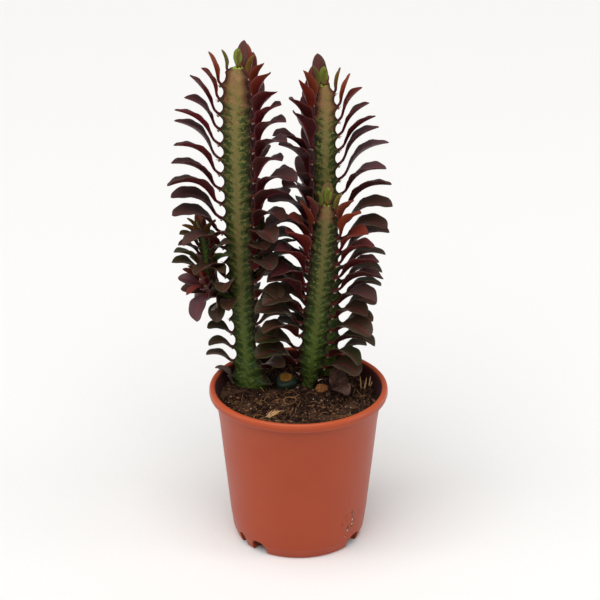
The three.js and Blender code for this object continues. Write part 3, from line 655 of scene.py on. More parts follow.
def horny_spine(new):
    """Spines and their shields, horn-like: pinkish tan, paler on the shield, dark at the point."""
    horn = new("ValToRGB", (new("Attribute", attribute_name="point"),), stops=[
        (0.0, "#b08a7e"), (0.15, "#6e463c"), (0.35, "#dcc4b8"), (0.8, "#cdb0a4"),
        (1.0, "#4a231e")])
    streak = new("TexNoise", (new("TexCoord"), per(0.7), 2))
    streak = new("MapRange", (streak, 0.45, 0.65, 0.0, 0.35))
    horn = new("Mix", (streak, horn, "#5c3630"))
    return new("BsdfPrincipled", {"Base Color": horn, "Roughness": 0.4})


def healed_stump(new):
    """A stem cut long ago: waxy bluish-green rind round a dried, orange-brown cut face."""
    place = new("TexCoord")
    cloud = new("TexNoise", (place, per(5), 4))
    grain = new("TexNoise", {"Vector": place, "Scale": per(2.2), "Detail": 4, "Distortion": 0.8})
    cut = new("Attribute", attribute_name="cut")
    ring = new("MapRange", (cut, 0.85, 0.55, 0.0, 0.8))
    edge = new("MapRange", (cut, 0.35, 0.55))
    heart = new("ValToRGB", (grain,), stops=[(0.3, "#6b3d12"), (0.5, "#9a6a1e"), (0.7, "#b98a30")])
    heart = new("Mix", (ring, heart, "#5c3418"))
    rind = new("Mix", (cloud, "#121c12", "#293b2b"))
    colour = new("Mix", (edge, rind, heart))
    normal = new("Bump", (grain, 0.5, 0.4 * MM))
    return new("BsdfPrincipled", {"Base Color": colour, "Roughness": 0.42, "Normal": normal,
                                  "Specular IOR Level": 0.25})


def weathered_bark(new):
    """Bark, weathered and broken: rough orange-brown, darker in the cracks."""
    cloud = new("TexNoise", (new("TexCoord"), per(1.8), 5, 0.65, 0.8))
    colour = new("ValToRGB", (cloud,), stops=[
        (0.3, "#3a1d0b"), (0.5, "#7c4a1d"), (0.72, "#b07434")])
    colour = new("Mix", (new("Attribute", attribute_name="tone"), colour, "#4a3023"))
    normal = new("Bump", (cloud, 0.8, 0.5 * MM))
    return new("BsdfPrincipled", {"Base Color": colour, "Roughness": 0.85, "Normal": normal})


def withered_skin(new):
    """A withered leaf: leathery, wrinkled, dull brown turning grey."""
    cloud = new("TexNoise", (new("TexCoord"), per(3), 5, 0.65, 0.5))
    brown = new("ValToRGB", (cloud,), stops=[
        (0.3, "#190d0a"), (0.52, "#41281f"), (0.72, "#6b4b3c")])
    colour = new("Mix", (new("Attribute", attribute_name="tone"), brown, "#6f6259"))
    normal = new("Bump", (cloud, 0.8, 0.5 * MM))
    return new("BsdfPrincipled", {"Base Color": colour, "Roughness": 0.75, "Normal": normal,
                                  "Specular IOR Level": 0.2})


def studio_paper(new):
    """Seamless background paper: matt, almost white, with a barely visible tooth."""
    tooth = new("TexNoise", (new("TexCoord"), per(2), 2))
    colour = new("Mix", (tooth, bpy.context.scene.euphorbia_stage.floor, "#f4f3f1"))
    return new("BsdfPrincipled", {"Base Color": colour, "Roughness": 0.9,
                                  "Specular IOR Level": 0.1})


# ------------------------------------------------------------------ growth of the stems and leaves
def prepare(stem):
    """Points of the stem's axis, with the length up to each."""
    ends = (np.array(point, float) for point in stem["axis"])
    stem["points"] = curve(*ends, np.linspace(0, 1, 65)[:, None])
    steps = np.linalg.norm(np.diff(stem["points"], axis=0), axis=1)
    stem["lengths"] = np.concatenate([[0], np.cumsum(steps)])
    stem["total"] = stem["lengths"][-1]


def axis_point(stem, along):
    """Point of the axis at a length up from the soil."""
    return np.stack([np.interp(along, stem["lengths"], line) for line in stem["points"].T], -1)


def tangent(stem, along):
    """Direction of the axis, from 2 mm below to 2 mm above."""
    along = np.asarray(along, float)
    high = axis_point(stem, np.minimum(stem["total"], along + 2))
    return unit(high - axis_point(stem, np.maximum(0, along - 2)))


def reach_at(stem, along):
    """Reach of the solids' ribs from the axis, less towards the tip."""
    return ramp(stem["reach"], along) * ramp(CAP, stem["total"] - along)


def full_reach(stem, along):
    """Reach of the fine skin's teeth: a share of the ribs', and blunter at the tip."""
    return FULLNESS * ramp(stem["reach"], along) * ramp(BLUNT_CAP, stem["total"] - along)


def outward(bearing, up):
    """The level direction at a bearing from the front, squared up to a tangent."""
    a = np.radians(bearing)
    out = np.stack([np.sin(a), -np.cos(a), np.zeros_like(a)], -1)
    return unit(out - up * np.sum(out * up, -1, keepdims=True))


def leaf_drop(stem, k):
    """Distance below the tip of leaf k, counted in spacings; the first ones stand closer."""
    return 1 + stem["pitch"] * k - TIP_CROWDING * (1 - np.exp(-k / 1.2))


def leaf_count(stem, drop):
    """The leaf number at a distance below the tip, the inverse of leaf_drop."""
    k = np.linspace(-0.9, 45, 2000)
    return np.interp(drop, leaf_drop(stem, k), k)


def slope(leaf, t):
    """Degrees above level along a midrib: out of the rib, up, then arching over."""
    return (leaf["rise"] - SPRING_OUT * (1 - ease(t / 0.22))
            + (leaf["droop"] - leaf["rise"]) * ease((t - 0.14) / 0.9))


def width_share(t):
    """Half-width along the solids' leaf: a slim stalk, widest at two thirds, a rounded point."""
    stalk = 0.16 + 0.84 * ease((t - 0.1) / 0.56)
    point = np.sqrt(np.clip(1 - (np.clip(t - 0.66, 0, None) / 0.34) ** 2.2, 0, None))
    return np.where(t < 0.66, stalk, point)


def fine_share(t, drop):
    """Half-width along the fine leaf. High leaves have a long slim stalk and a sharp tip; low
    ones are broad from near the rib, with a blunter tip."""
    low = np.maximum(ease((drop - 55) / 50), 0.8 * (1 - ease((drop - 8) / 10)))
    start, peak = blend(0.13, 0.02, low), blend(0.64, 0.52, low)
    stalk = 0.14 + 0.86 * ease((t - start) / (peak - start))
    x = np.clip((t - peak) / (1 - peak), 0, 1)
    return np.where(t < peak, stalk, (1 - x ** blend(1.8, 2.4, low)) ** blend(0.85, 0.5, low))


def blade(leaf, t):
    """Midrib points and side and face directions at t. The midrib is the sum of 24
    short steps at the slope's angle, and the blade rolls evenly from root to tip."""
    steps = 24
    a = np.radians(slope(leaf, (np.arange(steps) + 0.5) / steps))
    x = np.concatenate([[0], np.cumsum(np.cos(a))]) * leaf["length"] / steps
    z = np.concatenate([[0], np.cumsum(np.sin(a))]) * leaf["length"] / steps
    at = np.arange(steps + 1) / steps
    middle = (leaf["root"] + np.interp(t, at, x)[:, None] * leaf["out"]
              + np.interp(t, at, z)[:, None] * leaf["up"])
    a = np.radians(slope(leaf, t))[:, None]
    flat = leaf["up"] * np.cos(a) - leaf["out"] * np.sin(a)
    roll = np.radians(leaf["roll"] * t)[:, None]
    side = leaf["side"] * np.cos(roll) + flat * np.sin(roll)
    face = flat * np.cos(roll) - leaf["side"] * np.sin(roll)
    return middle, side, face


def spread_points(leaf):
    """Forty points over a blade, to find what it would touch."""
    t = np.array([0.3, 0.4, 0.5, 0.6, 0.7, 0.8, 0.9, 1.0])
    middle, side, face = blade(leaf, t)
    half = leaf["width"] / 2 * width_share(t)
    fold = np.radians(BLADE_FOLD) * ease(t / 0.3)
    w = np.array([-1, -0.5, 0, 0.5, 1])
    out = (w * (half * np.cos(fold))[:, None])[..., None] * side[:, None]
    lift = (np.abs(w) * (half * np.sin(fold))[:, None])[..., None] * face[:, None]
    return (middle[:, None] + out + lift).reshape(-1, 3)


def sprout(stem, drop, up, bearing, **form):
    """A leaf at a drop below a stem's tip that points to a bearing, square to the way up."""
    out = outward(float(bearing), up)
    return dict(stem=stem, drop=drop, up=up, out=out, side=np.cross(up, out), **form)


def spotted(leaf):
    """A leaf with its spread points, their centre and how far they are from it."""
    spots = spread_points(leaf)
    centre = spots.mean(0)
    return dict(leaf, spots=spots, centre=centre,
                span=np.linalg.norm(spots - centre, axis=1).max())


def nearest(a, b):
    """The least distance between two sets of points."""
    return np.sqrt(np.min(np.sum((a[:, None] - b[None]) ** 2, -1)))


def fits(leaf, others):
    """Whether a leaf of the fine plant keeps clear of others."""
    return all(nearest(leaf["spots"], other["spots"]) > FILL_CLEAR for other in others)


def blocked(leaf, leaves, close):
    """Whether a leaf would reach the pot, the soil, another stem or a leaf already placed."""
    spots, plant = leaf["spots"], leaf["stem"]["plant"]
    outside = np.hypot(spots[:, 0], spots[:, 1]) > POT_CLEAR[0]
    over_pot = np.where(outside, POT_CLEAR[1], GROUND + SOIL_CLEAR)
    if np.any(spots[:, 2] < over_pot):
        return True
    for other in STEMS:
        room = max(r for _, r in other["reach"]) + (-1 if other["plant"] == plant else STEM_CLEAR)
        if other is not leaf["stem"] and nearest(spots, other["points"][::2]) < room:
            return True
    for other in leaves:
        clear = close or (CLEAR_OWN if other["stem"]["plant"] == plant else CLEAR_OTHER)
        apart = np.linalg.norm(leaf["centre"] - other["centre"])
        if (apart <= leaf["span"] + other["span"] + clear
                and nearest(spots, other["spots"]) < clear):
            return True
    return False


def place_leaf(stem, rib, drop, draw, leaves, close=0.0):
    """One leaf at a drop below the tip, turned to the first place where it is clear, or none.
    Six draws vary its length, width, rise, droop and roll and, away from the tip, its bearing."""
    along = stem["total"] - drop
    bare = stem["late_bare"] if close else stem["bare"]
    if along < LOWEST_LEAF or any(r == rib and low <= drop <= high for r, low, high in bare):
        return None
    up, centre, reach = tangent(stem, along), axis_point(stem, along), reach_at(stem, along)
    rib_out = outward(stem["ribs"][rib], up)
    sunk = reach - min(ROOT_SINK, reach * 0.35)
    length, width, rise, droop = (
        ramp(stem["leaf"][key], drop) for key in ("length", "width", "rise", "droop"))
    vary = {key: SPREAD[key] * (value - 0.5) for key, value in zip(SPREAD, draw)}
    bearing = stem["ribs"][rib] + vary["bearing"] * ease(drop / 40)
    for turn, lift in TURNS:
        leaf = sprout(
            stem, drop, up, bearing + turn, rib=rib, rib_out=rib_out, tone=draw[4],
            luck=draw[1], green=stem.get("green", 0.0), length=length * (1 + vary["length"]),
            width=width * (1 + vary["width"]), rise=rise + vary["rise"],
            droop=droop + vary["droop"] + lift, roll=vary["roll"])
        leaf["root"] = centre + 0.2 * leaf["side"] + rib_out * sunk
        leaf = spotted(leaf)
        if not blocked(leaf, leaves, close):
            return leaf
    return None


def broaden(leaf, leaves):
    """Broaden and lengthen a leaf of the fine plant as far as the leaves round it leave room."""
    near = [other for other in leaves if other is not leaf and np.linalg.norm(
        leaf["centre"] - other["centre"]) < 1.4 * (leaf["span"] + other["span"])]
    drops, wider, longer = zip(*leaf["stem"].get("swell", {}).get(leaf["rib"], SWELL))
    wider, longer = (np.interp(leaf["drop"], drops, values) for values in (wider, longer))
    for share in (1.0, 0.7, 0.4):
        broad = dict(leaf, width=leaf["width"] * (1.08 + wider * share),
                     length=leaf["length"] * (1 + longer * share))
        broad["spots"] = spread_points(broad)
        if fits(broad, near):
            leaf.update(broad)
            return


def hang_leaves(leaves):
    """The hanging leaves, each turned to the first place that is clear of the others. They have
    the broad outline of a leaf 80 mm below a tip."""
    stem = next(stem for stem in STEMS if stem["name"] == "knob")
    for along, bearing, length, width, rise, droop in HANGING:
        root = axis_point(stem, along) + outward(float(bearing), tangent(stem, along))
        for turn, lift in TURNS:
            leaf = sprout(stem, stem["total"] - along, UP, bearing + turn, rib=0, root=root,
                          tone=0.3, luck=0.8, form=80, length=length, width=width, rise=rise,
                          droop=droop + lift, roll=0)
            leaf = spotted(dict(leaf, rib_out=leaf["out"]))
            if fits(leaf, leaves):
                leaves.append(leaf)
                break


def grow_leaves():
    """All leaves of the solids' rule, in its order, then the ones that its wide clearances left
    out and that fit in between, and the hanging ones. Each broadens where it can, and its root
    moves out to the fine skin."""
    leaves = []
    for close in (0.0, FILL_CLEAR):
        taken = {(leaf["stem"]["name"], leaf["rib"], leaf["drop"]) for leaf in leaves}
        for stem in STEMS:
            numbers = draws(stem["seed"])
            k = 0
            while leaf_drop(stem, k) < stem["total"] - LOWEST_LEAF:
                for rib in range(3):
                    draw = [next(numbers) for _ in range(6)]
                    drop = leaf_drop(stem, k + rib / 3)
                    if (stem["name"], rib, drop) not in taken:
                        leaf = place_leaf(stem, rib, drop, draw, leaves, close)
                        leaves += [leaf] if leaf else []
                k += 1
    hang_leaves(leaves)
    for leaf in leaves:
        broaden(leaf, leaves)
    for leaf in leaves:
        along = leaf["stem"]["total"] - leaf["drop"]
        more = full_reach(leaf["stem"], along) - reach_at(leaf["stem"], along)
        leaf["root"] = leaf["root"] + leaf["rib_out"] * (more - 0.3)
    return leaves


# ------------------------------------------------------------------ shapes of the plant
def ribbed_stem(stem, tooth_depth):
    """Skin of a three-ribbed stem. Across a face, turn runs 0 to 120 degrees and the section is
    0.5 + 0.5 |1 - turn/60|^2.4 of the rib's reach. Down a rib, from a tooth at q = 0 to the next
    at q = 1, the edge falls back by tooth_depth x (1 - |2 q^1.3 - 1|^2.6), which fades off the
    rib. Low swellings run from each tooth down to the middle of the face, and a rib may flare
    towards the soil."""
    per_face, row_step = 16, 0.6
    rib = np.repeat(np.arange(3), per_face)
    after = (rib + 1) % 3
    s = np.tile((1 - np.cos(np.pi * np.arange(per_face) / per_face)) / 2, 3)
    face = np.abs(1 - 2 * s)
    bearings = np.array([*stem["ribs"], stem["ribs"][0] + 360.0])
    bearing = blend(bearings[rib], bearings[rib + 1], s)
    phases = np.array(PHASES)
    near_rib = np.where(s < 0.5, rib, after)
    drop = np.arange(stem["total"] - 0.4, -1.25, -row_step)
    along = stem["total"] - np.maximum(drop, 0)
    count = leaf_count(stem, np.maximum(drop, 0.4))[:, None]
    q = (count - blend(phases[rib], phases[after], s)) % 1.0
    dip = (1 - np.abs(2 * q ** 1.3 - 1) ** 2.6) * face ** 3
    share = 0.5 + 0.5 * face ** 2.4
    depth = tooth_depth * (1 if stem["plug"] else TWIG_TOOTH)
    dome = np.sqrt(np.clip(1 - (np.minimum(drop, 0) / 1.4) ** 2, 0, 1))
    flare = np.array(stem.get("foot", (0, 0, 0)))
    flare = blend(flare[rib], flare[after], s) * (1 - ease(along / 34))[:, None]
    reach = (full_reach(stem, along) * dome)[:, None] * (1 + flare)
    beat = count - phases[near_rib] - 0.45 * (1 - face)
    swell = 0.3 * np.cos(2 * np.pi * beat) * face * (1 - face) * 4
    radius = reach * share * (1 - depth * dip) + swell * np.clip(reach / 10, 0, 1)
    up = tangent(stem, along)
    centre = axis_point(stem, along) + up * np.maximum(0, -drop)[:, None]
    out = outward(bearing, up[:, None])
    rings = centre[:, None] + radius[..., None] * out
    rings = rings + 0.12 * fractal(rings, 3.0, 2, stem["seed"])[..., None] * out
    # A short stem is young for a shorter way below its tip.
    fade = float(np.clip((stem["total"] - 78) / 160, 0.2, 1.0))
    young = ramp([(-1.3, 1.1), (0, 1), (12 * fade, 0.88), (28 * fade, 0.56), (80 * fade, 0.1),
                  (110, 0)], drop)
    values = dict(face=face, beat=beat, along=(along * MM)[:, None], young=young[:, None])
    values = {key: np.broadcast_to(value, q.shape) for key, value in values.items()}
    tip, foot = centre[-1] + up[-1] * 0.25, axis_point(stem, 0.0)
    if stem["plug"]:
        rings, values, foot = planted(stem, rings, values)
    ends = dict(face=(0.5, 0), beat=(0, 0), along=(0, stem["total"] * MM), young=(0, 1.1))
    return *shell(rings, foot, tip), {
        key: each_point(value[None], *ends[key]) for key, value in values.items()}


def planted(stem, rings, values):
    """Rings added below a stem, where it narrows to the round plug that stands in the soil."""
    x, y, _ = axis_point(stem, 0.0)
    depth = np.array([PLUG_DEPTH, 12, 6, 4, 2.5, 1.2])[:, None]
    flat = rings[0] - (x, y, 0.0)
    radius = np.hypot(flat[:, 0], flat[:, 1])
    radius = blend(radius[None], stem["plug"], ease((depth - 1) / 4))
    below = rounds(radius, np.arctan2(flat[:, 1], flat[:, 0]), GROUND - depth, x, y)
    values = {k: np.concatenate([np.repeat(v[:1], len(depth), 0), v]) for k, v in values.items()}
    return np.concatenate([below, rings]), values, np.array([x, y, GROUND - PLUG_DEPTH])


def leaf_form(leaf, rows=20, wrinkle=0.0):
    """Rings, poles and values of a leaf's skin: across it w goes 1, 0, -1 over the upper face and
    back below. A point lies w of the half-width to the side, lifted by the fold and by half the
    thickness x sqrt(1 - w^2), with a groove above and a keel below along the midrib, and edges
    that wave every 9 mm or so. Noise wrinkles a withered leaf."""
    t = 0.985 * (1 - (1 - np.linspace(0, 1, rows)) ** 1.3)
    middle, side, face = blade(leaf, t)
    t = t[:, None]
    share = fine_share(t, leaf.get("form", leaf["drop"]))
    half = leaf["width"] / 2 * share
    columns = len(LEAF_ACROSS)
    w = np.concatenate([LEAF_ACROSS, -LEAF_ACROSS])
    over = np.repeat([1.0, -1.0], columns)
    over[[0, columns]] = 0
    fold = np.radians(BLADE_FOLD) * ease(t / 0.3)
    thick = BLADE_THICK / 2 * (0.6 + 0.4 * share) + 0.35 * (1 - ease(t / 0.45))
    crease = np.exp(-(w / 0.17) ** 2) * (1 - t) ** 0.6
    body = thick * np.sqrt(1 - w ** 2) * over
    body = body - crease * np.where(over > 0, 0.18, 0.38) * (over != 0)
    lift = (np.sqrt(w ** 2 + 0.03) - 0.17) * half * np.sin(fold)
    wave = np.sin(2 * np.pi * (t * leaf["length"] / 9 + leaf["tone"] * 3 + 0.5 * (w > 0)))
    lift = lift + 0.28 * wave * w ** 2 * ease(t / 0.5) * (leaf["width"] / 14)
    out = (w * half * np.cos(fold))[..., None] * side[:, None]
    rings = middle[:, None] + out + (body + lift)[..., None] * face[:, None]
    if wrinkle:
        ripple = wrinkle * fractal(rings[:, :columns + 1], 5.0, 3, 5)
        back = np.concatenate([ripple, ripple[:, 1:-1][:, ::-1]], 1)
        rings = rings + back[..., None] * face[:, None]
    tip = blade(leaf, np.array([1.0]))[0][0] + unit(middle[-1] - middle[-2]) * 0.4
    values = dict(
        upper=np.clip(0.5 + 1.2 * over * np.sqrt(1 - w ** 2), 0, 1), across=np.abs(w), stalk=t,
        age=leaf["drop"] / 200 * leaf["stem"].get("youth", 1.0),
        wear=leaf["drop"] / leaf["stem"]["total"], tone=leaf["tone"],
        luck=leaf.get("luck", 0.5), green=leaf.get("green", 0.0))
    values = {key: np.broadcast_to(value, body.shape) for key, value in values.items()}
    return rings, leaf["root"], tip, values


def leaf_skins(leaves, **form):
    """The skins of many leaves as one mesh."""
    rings, roots, tips, values = zip(*(leaf_form(leaf, **form) for leaf in leaves))
    ends = dict(upper=(0.5, 0.5), across=(0, 0.5), stalk=(0, 1))
    made = {}
    for key in values[0]:
        numbers = np.stack([v[key] for v in values])
        made[key] = each_point(numbers, *ends.get(key, (numbers[:, 0, 0],) * 2))
    return *shells(np.stack(rings), np.stack(roots), np.stack(tips)), made


def tip_buds(stem):
    """Three young leaflets that stand over the growing point, two tall and one just opening."""
    up = tangent(stem, stem["total"])
    small = 1.0 if stem["plug"] else TWIG_BUD
    for bearing, drop, length, width in BUDS:
        bud = sprout(stem, drop, up, bearing, tone=0.4, length=length * small,
                     width=width * small, rise=100, droop=80, roll=8)
        yield dict(bud, root=axis_point(stem, stem["total"]) - up * 0.8 + bud["out"] * 1.2 * small)


def teeth(stem):
    """Place, up and outward directions of each tooth, where a leaf or its scar is."""
    k = 0
    while leaf_drop(stem, k) < stem["total"] - 6:
        for rib in range(3):
            drop = leaf_drop(stem, k + rib / 3)
            along = stem["total"] - drop
            if along > 5 and drop > 3:
                up = tangent(stem, along)
                out = outward(stem["ribs"][rib], up)
                yield axis_point(stem, along) + out * full_reach(stem, along), up, out
        k += 1


def spine_skins(stem, length):
    """A pair of spines on each tooth, cones that spread and rise a little, and the oval shield
    that carries them. The shield is an ellipsoid, 1.5 mm high."""
    at, up, out = (np.stack(v) for v in zip(*teeth(stem)))
    size = 1.0 if stem["plug"] else TWIG_SPINE
    side = np.cross(up, out)
    numbers = np.random.default_rng(stem["seed"] + 900)
    base = at - out * 0.6 * size - up * 1.1 * size
    u = np.array([0.0, 0.35, 0.7])
    skins = []
    for sign in (-1, 1):
        reach = (length * size * numbers.uniform(0.6, 1.15, len(at)))[:, None]
        aim = unit(sign * side * 0.9 + out * 0.65 + up * numbers.uniform(0.05, 0.5, (len(at), 1)))
        across = unit(np.cross(aim, up))
        line = (base[:, None] + aim[:, None] * u[:, None] * reach[:, None]
                - up[:, None] * (0.3 * u ** 2)[:, None])
        cone = tubes(line, across[:, None], np.cross(across, aim)[:, None],
                     0.42 * size * (1 - u[None]) ** 0.8)
        skins.append((cone, base - aim * 0.2, base + aim * reach - up * 0.3, 0.3 + 0.6 * u, 1.0))
    lat = np.radians([-50, 0, 50])[:, None, None]
    angle = around(5)[:, None]
    oval = np.cos(angle) * side[:, None] * 0.8 + np.sin(angle) * up[:, None] * 1.2
    shield = (base[:, None, None] + size * np.cos(lat) * oval[:, None]
              + size * 0.75 * np.sin(lat) * out[:, None, None])
    skins.append((shield, base - out * 0.75 * size, base + out * 0.75 * size,
                  np.array([0.2, 0.12, 0.02]), 0.0))
    for rings, first, last, shade, end in skins:
        shade = np.broadcast_to(shade[:, None], rings.shape[:3])
        yield *shells(rings, first, last), dict(point=each_point(shade, 0.2, end))


# ------------------------------------------------------------------ shapes of the pot
def rounded(outline, radius, steps=4):
    """An outline with each corner replaced by a quadratic curve that starts and ends a radius
    from it, or 40% of the shorter side."""
    points = np.array(outline, float)
    made = [points[:1]]
    u = np.linspace(0, 1, steps)[:, None]
    for before, corner, after in zip(points, points[1:], points[2:]):
        a, b = before - corner, after - corner
        cut = min(radius, 0.4 * np.linalg.norm(a), 0.4 * np.linalg.norm(b))
        made.append(curve(corner + unit(a) * cut, corner, corner + unit(b) * cut, u))
    return np.concatenate([*made, points[-1:]])


def turned(outline, columns):
    """A closed skin from an outline of (radius, height) turned about the pot's axis; its first
    and last points lie on the axis."""
    r, z = outline[1:-1].T[:, :, None]
    return shell(rounds(r, around(columns), z), (0, 0, outline[0, 1]), (0, 0, outline[-1, 1]))


def pot_outline():
    """The pot's section (radius, height): out under the foot, up the wall, over the lip, down
    the inside and in across the floor."""
    under = POT_HEIGHT - LIP_DROP
    neck = ramp(WALL_OUTLINE, under)
    ring = FOOT_RADIUS - FOOT_RING
    return [
        (0, 0), (PAD_RADIUS, 0), (PAD_RADIUS + 2, FLOOR_RISE), (ring - 2, FLOOR_RISE), (ring, 0),
        (FOOT_RADIUS - 1, 0), (FOOT_RADIUS, 0.8), (43.9, 6), (44.5, 6.7),
        *[(r, z) for z, r in WALL_OUTLINE],
        (neck + 0.5, under + 0.1), (RIM_RADIUS - 0.7, under + 0.2),
        (RIM_RADIUS - 0.1, under + 1.6), (RIM_RADIUS, POT_HEIGHT - 2.6),
        (RIM_RADIUS - 0.6, POT_HEIGHT - 0.7), (RIM_RADIUS - 2.1, POT_HEIGHT),
        (RIM_RADIUS - 3.9, POT_HEIGHT - 0.9), (neck - WALL + 0.5, under),
        *[(r - WALL, z) for z, r in reversed(INNER_OUTLINE)], (0, FLOOR_TOP)]


def arch_cutter(bearing, width):
    """An arch-shaped bar that runs outwards through the pot's bottom corner at a bearing."""
    half = FOOT_RADIUS * math.radians(width) / 2
    spring = NOTCH_HEIGHT - half * 0.5
    arch = rounded([(-half, -1), (half, -1), (half, spring), (half * 0.5, NOTCH_HEIGHT),
                    (-half * 0.5, NOTCH_HEIGHT), (-half, spring), (-half, -1)], 2, 5)[:-1]
    sin, cos = math.sin(math.radians(bearing)), math.cos(math.radians(bearing))
    out, side = np.array([sin, -cos, 0]), np.array([cos, sin, 0])
    flat = side * arch[:, :1] + UP * arch[:, 1:]
    near, far = flat + out * NOTCH_FROM, flat + out * NOTCH_TO
    return shell(np.stack([near, far]), near.mean(0), far.mean(0))


def cut_by(piece, cutters):
    """Cut closed skins out of a piece with an exact boolean, applied to its mesh."""
    points, faces, _ = gather([(*cutter, {}) for cutter in cutters])
    cutter = new_mesh("cutter", points, faces)
    tool = new_object("cutter", cutter)
    modifier = piece.modifiers.new("notches", "BOOLEAN")
    modifier.operation = "DIFFERENCE"
    modifier.solver = "EXACT"
    modifier.object = tool
    bpy.context.view_layer.update()
    seen = piece.evaluated_get(bpy.context.evaluated_depsgraph_get())
    made = bpy.data.meshes.new_from_object(seen)
    piece.modifiers.clear()
    old, piece.data = piece.data, made
    made.name = piece.name
    bpy.data.objects.remove(tool)
    for mesh in (old, cutter):
        bpy.data.meshes.remove(mesh)
    made.set_sharp_from_angle(angle=math.radians(SHARP_EDGE))


# ------------------------------------------------------------------ shapes of the soil and litter
# Level seats in the soil: x, y, radius, height. The first ones are of the stems and the stump.
STEM_SEATS = [(*s["axis"][0][:2], s["reach"][0][1] + 1, COLLAR_TOP) for s in STEMS if s["plug"]]
STEM_SEATS.append((STUMP["x"], STUMP["y"], STUMP["radius"] + 1, COLLAR_TOP))
SEATS = [*STEM_SEATS, (CHIP["x"], CHIP["y"], 5, CHIP["seat"]),
         (DEAD_LEAF["x"] + 8, DEAD_LEAF["y"] - 8, 11, DEAD_LEAF["seat"])]


def soil_height(x, y):
    """Height of the soil: two sine swells, brought to level seats round what stands in it."""
    z = SOIL_TOP + 0.6 * np.sin(0.23 * x + 1.3) * np.cos(0.19 * y - 0.4)
    z = z + 0.4 * np.sin(0.51 * x - 0.37 * y)
    for seat_x, seat_y, flat, height in SEATS:
        near = 1 - ease((np.hypot(x - seat_x, y - seat_y) - flat) / SEAT_FADE)
        z = blend(z, height, near)
    return z


def crumbly_height(x, y):
    """The soil's height with its crumbs: noise of 6 mm and finer lumps of 1.6 mm."""
    flat = np.stack([x, y, np.zeros_like(x)], -1)
    fine = np.clip(noise(flat, 1.6, 77) + 0.2, 0, None)
    return soil_height(x, y) + 0.9 * fractal(flat, 6.0, 3, 71) + 0.8 * fine


def soil_skin():
    """Rings up the pot's inside, then across the surface to the middle, with crumbly heights."""
    angle, floor = around(SOIL_COLUMNS), FLOOR_TOP + 0.3
    z, r = np.array(INNER_OUTLINE).T[:, :, None]
    side = rounds(r - WALL - SOIL_GAP, angle, np.maximum(z, floor))
    radius = SOIL_EDGE * (1 - np.arange(SOIL_RINGS) / SOIL_RINGS)
    top = rounds(radius[:, None], angle, 0.0)
    top[..., 2] = crumbly_height(top[..., 0], top[..., 1])
    points, faces = shell(np.concatenate([side, top]), (0, 0, floor),
                          (0, 0, top[-1, :, 2].mean()))
    return points, faces, dict(tone=0.25 * ease(fractal(points, 9.0, 2, 13) * 1.5 - 0.2))


def scattered(count, seed, spread, keep_off=0.0):
    """Seeded places on the soil, clear of the stems by keep_off."""
    numbers = np.random.default_rng(seed)
    radius = spread * np.sqrt(numbers.random(count * 3))
    angle = numbers.random(count * 3) * 2 * np.pi
    x, y = radius * np.cos(angle), radius * np.sin(angle)
    clear = np.ones(len(x), bool)
    for seat_x, seat_y, flat, _ in STEM_SEATS:
        clear &= np.hypot(x - seat_x, y - seat_y) > flat + keep_off
    return x[clear][:count], y[clear][:count], numbers


def lumps(x, y, size, flatness, numbers):
    """Lumpy ellipsoids sunk a little into the soil: unit spheres on a grid of latitude and
    bearing, stretched, turned about Z and dented at random."""
    n, rows, columns = len(x), 4, 7
    lat = np.radians(np.linspace(-60, 60, rows))[:, None]
    ball = rounds(np.cos(lat), around(columns), np.sin(lat))
    stretch = np.stack([numbers.uniform(0.75, 1.35, n), numbers.uniform(0.6, 1.0, n),
                        numbers.uniform(0.5, 0.9, n) * flatness], -1) * size[:, None]
    dents = numbers.uniform(0.75, 1.15, (n, rows, columns, 1))
    px, py, pz = np.moveaxis(ball * stretch[:, None, None] * dents, -1, 0)
    first = stretch * (0, 0, -1)
    turn = (numbers.random(n) * 2 * np.pi)[:, None, None]
    cos, sin = np.cos(turn), np.sin(turn)
    rings = np.stack([px * cos - py * sin, px * sin + py * cos, pz], -1)
    centre = np.stack([x, y, crumbly_height(x, y) + stretch[:, 2] * 0.35], -1)
    return toned(rings + centre[:, None, None], centre + first, centre - first,
                 numbers.random(n) ** 2.5)


def scatter_lumps(name, build, places, sizes, flatness=1.0):
    """A piece of lumps at scattered places (count, seed, spread, keep_off). Their sizes (least,
    more, power) are the least plus up to more, and a higher power makes more of them small."""
    x, y, numbers = scattered(*places)
    least, more, power = sizes
    size = least + more * numbers.random(len(x)) ** power
    make_piece(name, lumps(x, y, size, flatness, numbers), build)


def strands(lines, radius, tone):
    """Thin round tubes along lines (n, rows, 3), narrowing to both ends."""
    along = unit(np.gradient(lines, axis=1))
    across = unit(np.cross(along, np.array([0.05, 0.08, 1.0])))
    width = radius[:, None] * (1 - 0.75 * np.abs(np.linspace(-1, 1, lines.shape[1])) ** 3)
    rings = tubes(lines, across, np.cross(across, along), width)
    return toned(rings, lines[:, 0] - along[:, 0] * radius[:, None],
                 lines[:, -1] + along[:, -1] * radius[:, None], tone)


def fibre_lines(count, seed, shortest, longest):
    """Lines that wander over the soil: the heading turns evenly with a random curl and the
    height is the soil's plus a low arch."""
    x, y, numbers = scattered(count, seed, FIBRE_SPREAD)
    n, rows = len(x), 9
    u = np.linspace(0, 1, rows)
    length = numbers.uniform(shortest, longest, n)[:, None]
    heading = (numbers.random(n) * 2 * np.pi)[:, None] + numbers.normal(0, 0.8, n)[:, None] * u
    px = x[:, None] + np.cumsum(np.cos(heading), 1) * length / rows
    py = y[:, None] + np.cumsum(np.sin(heading), 1) * length / rows
    far = np.maximum(1, np.hypot(px, py) / FIBRE_LIMIT)
    px, py = px / far, py / far
    arch = numbers.uniform(0.2, 2.2, n)[:, None] * np.sin(np.pi * u)
    return np.stack([px, py, crumbly_height(px, py) + 0.15 + arch], -1), numbers


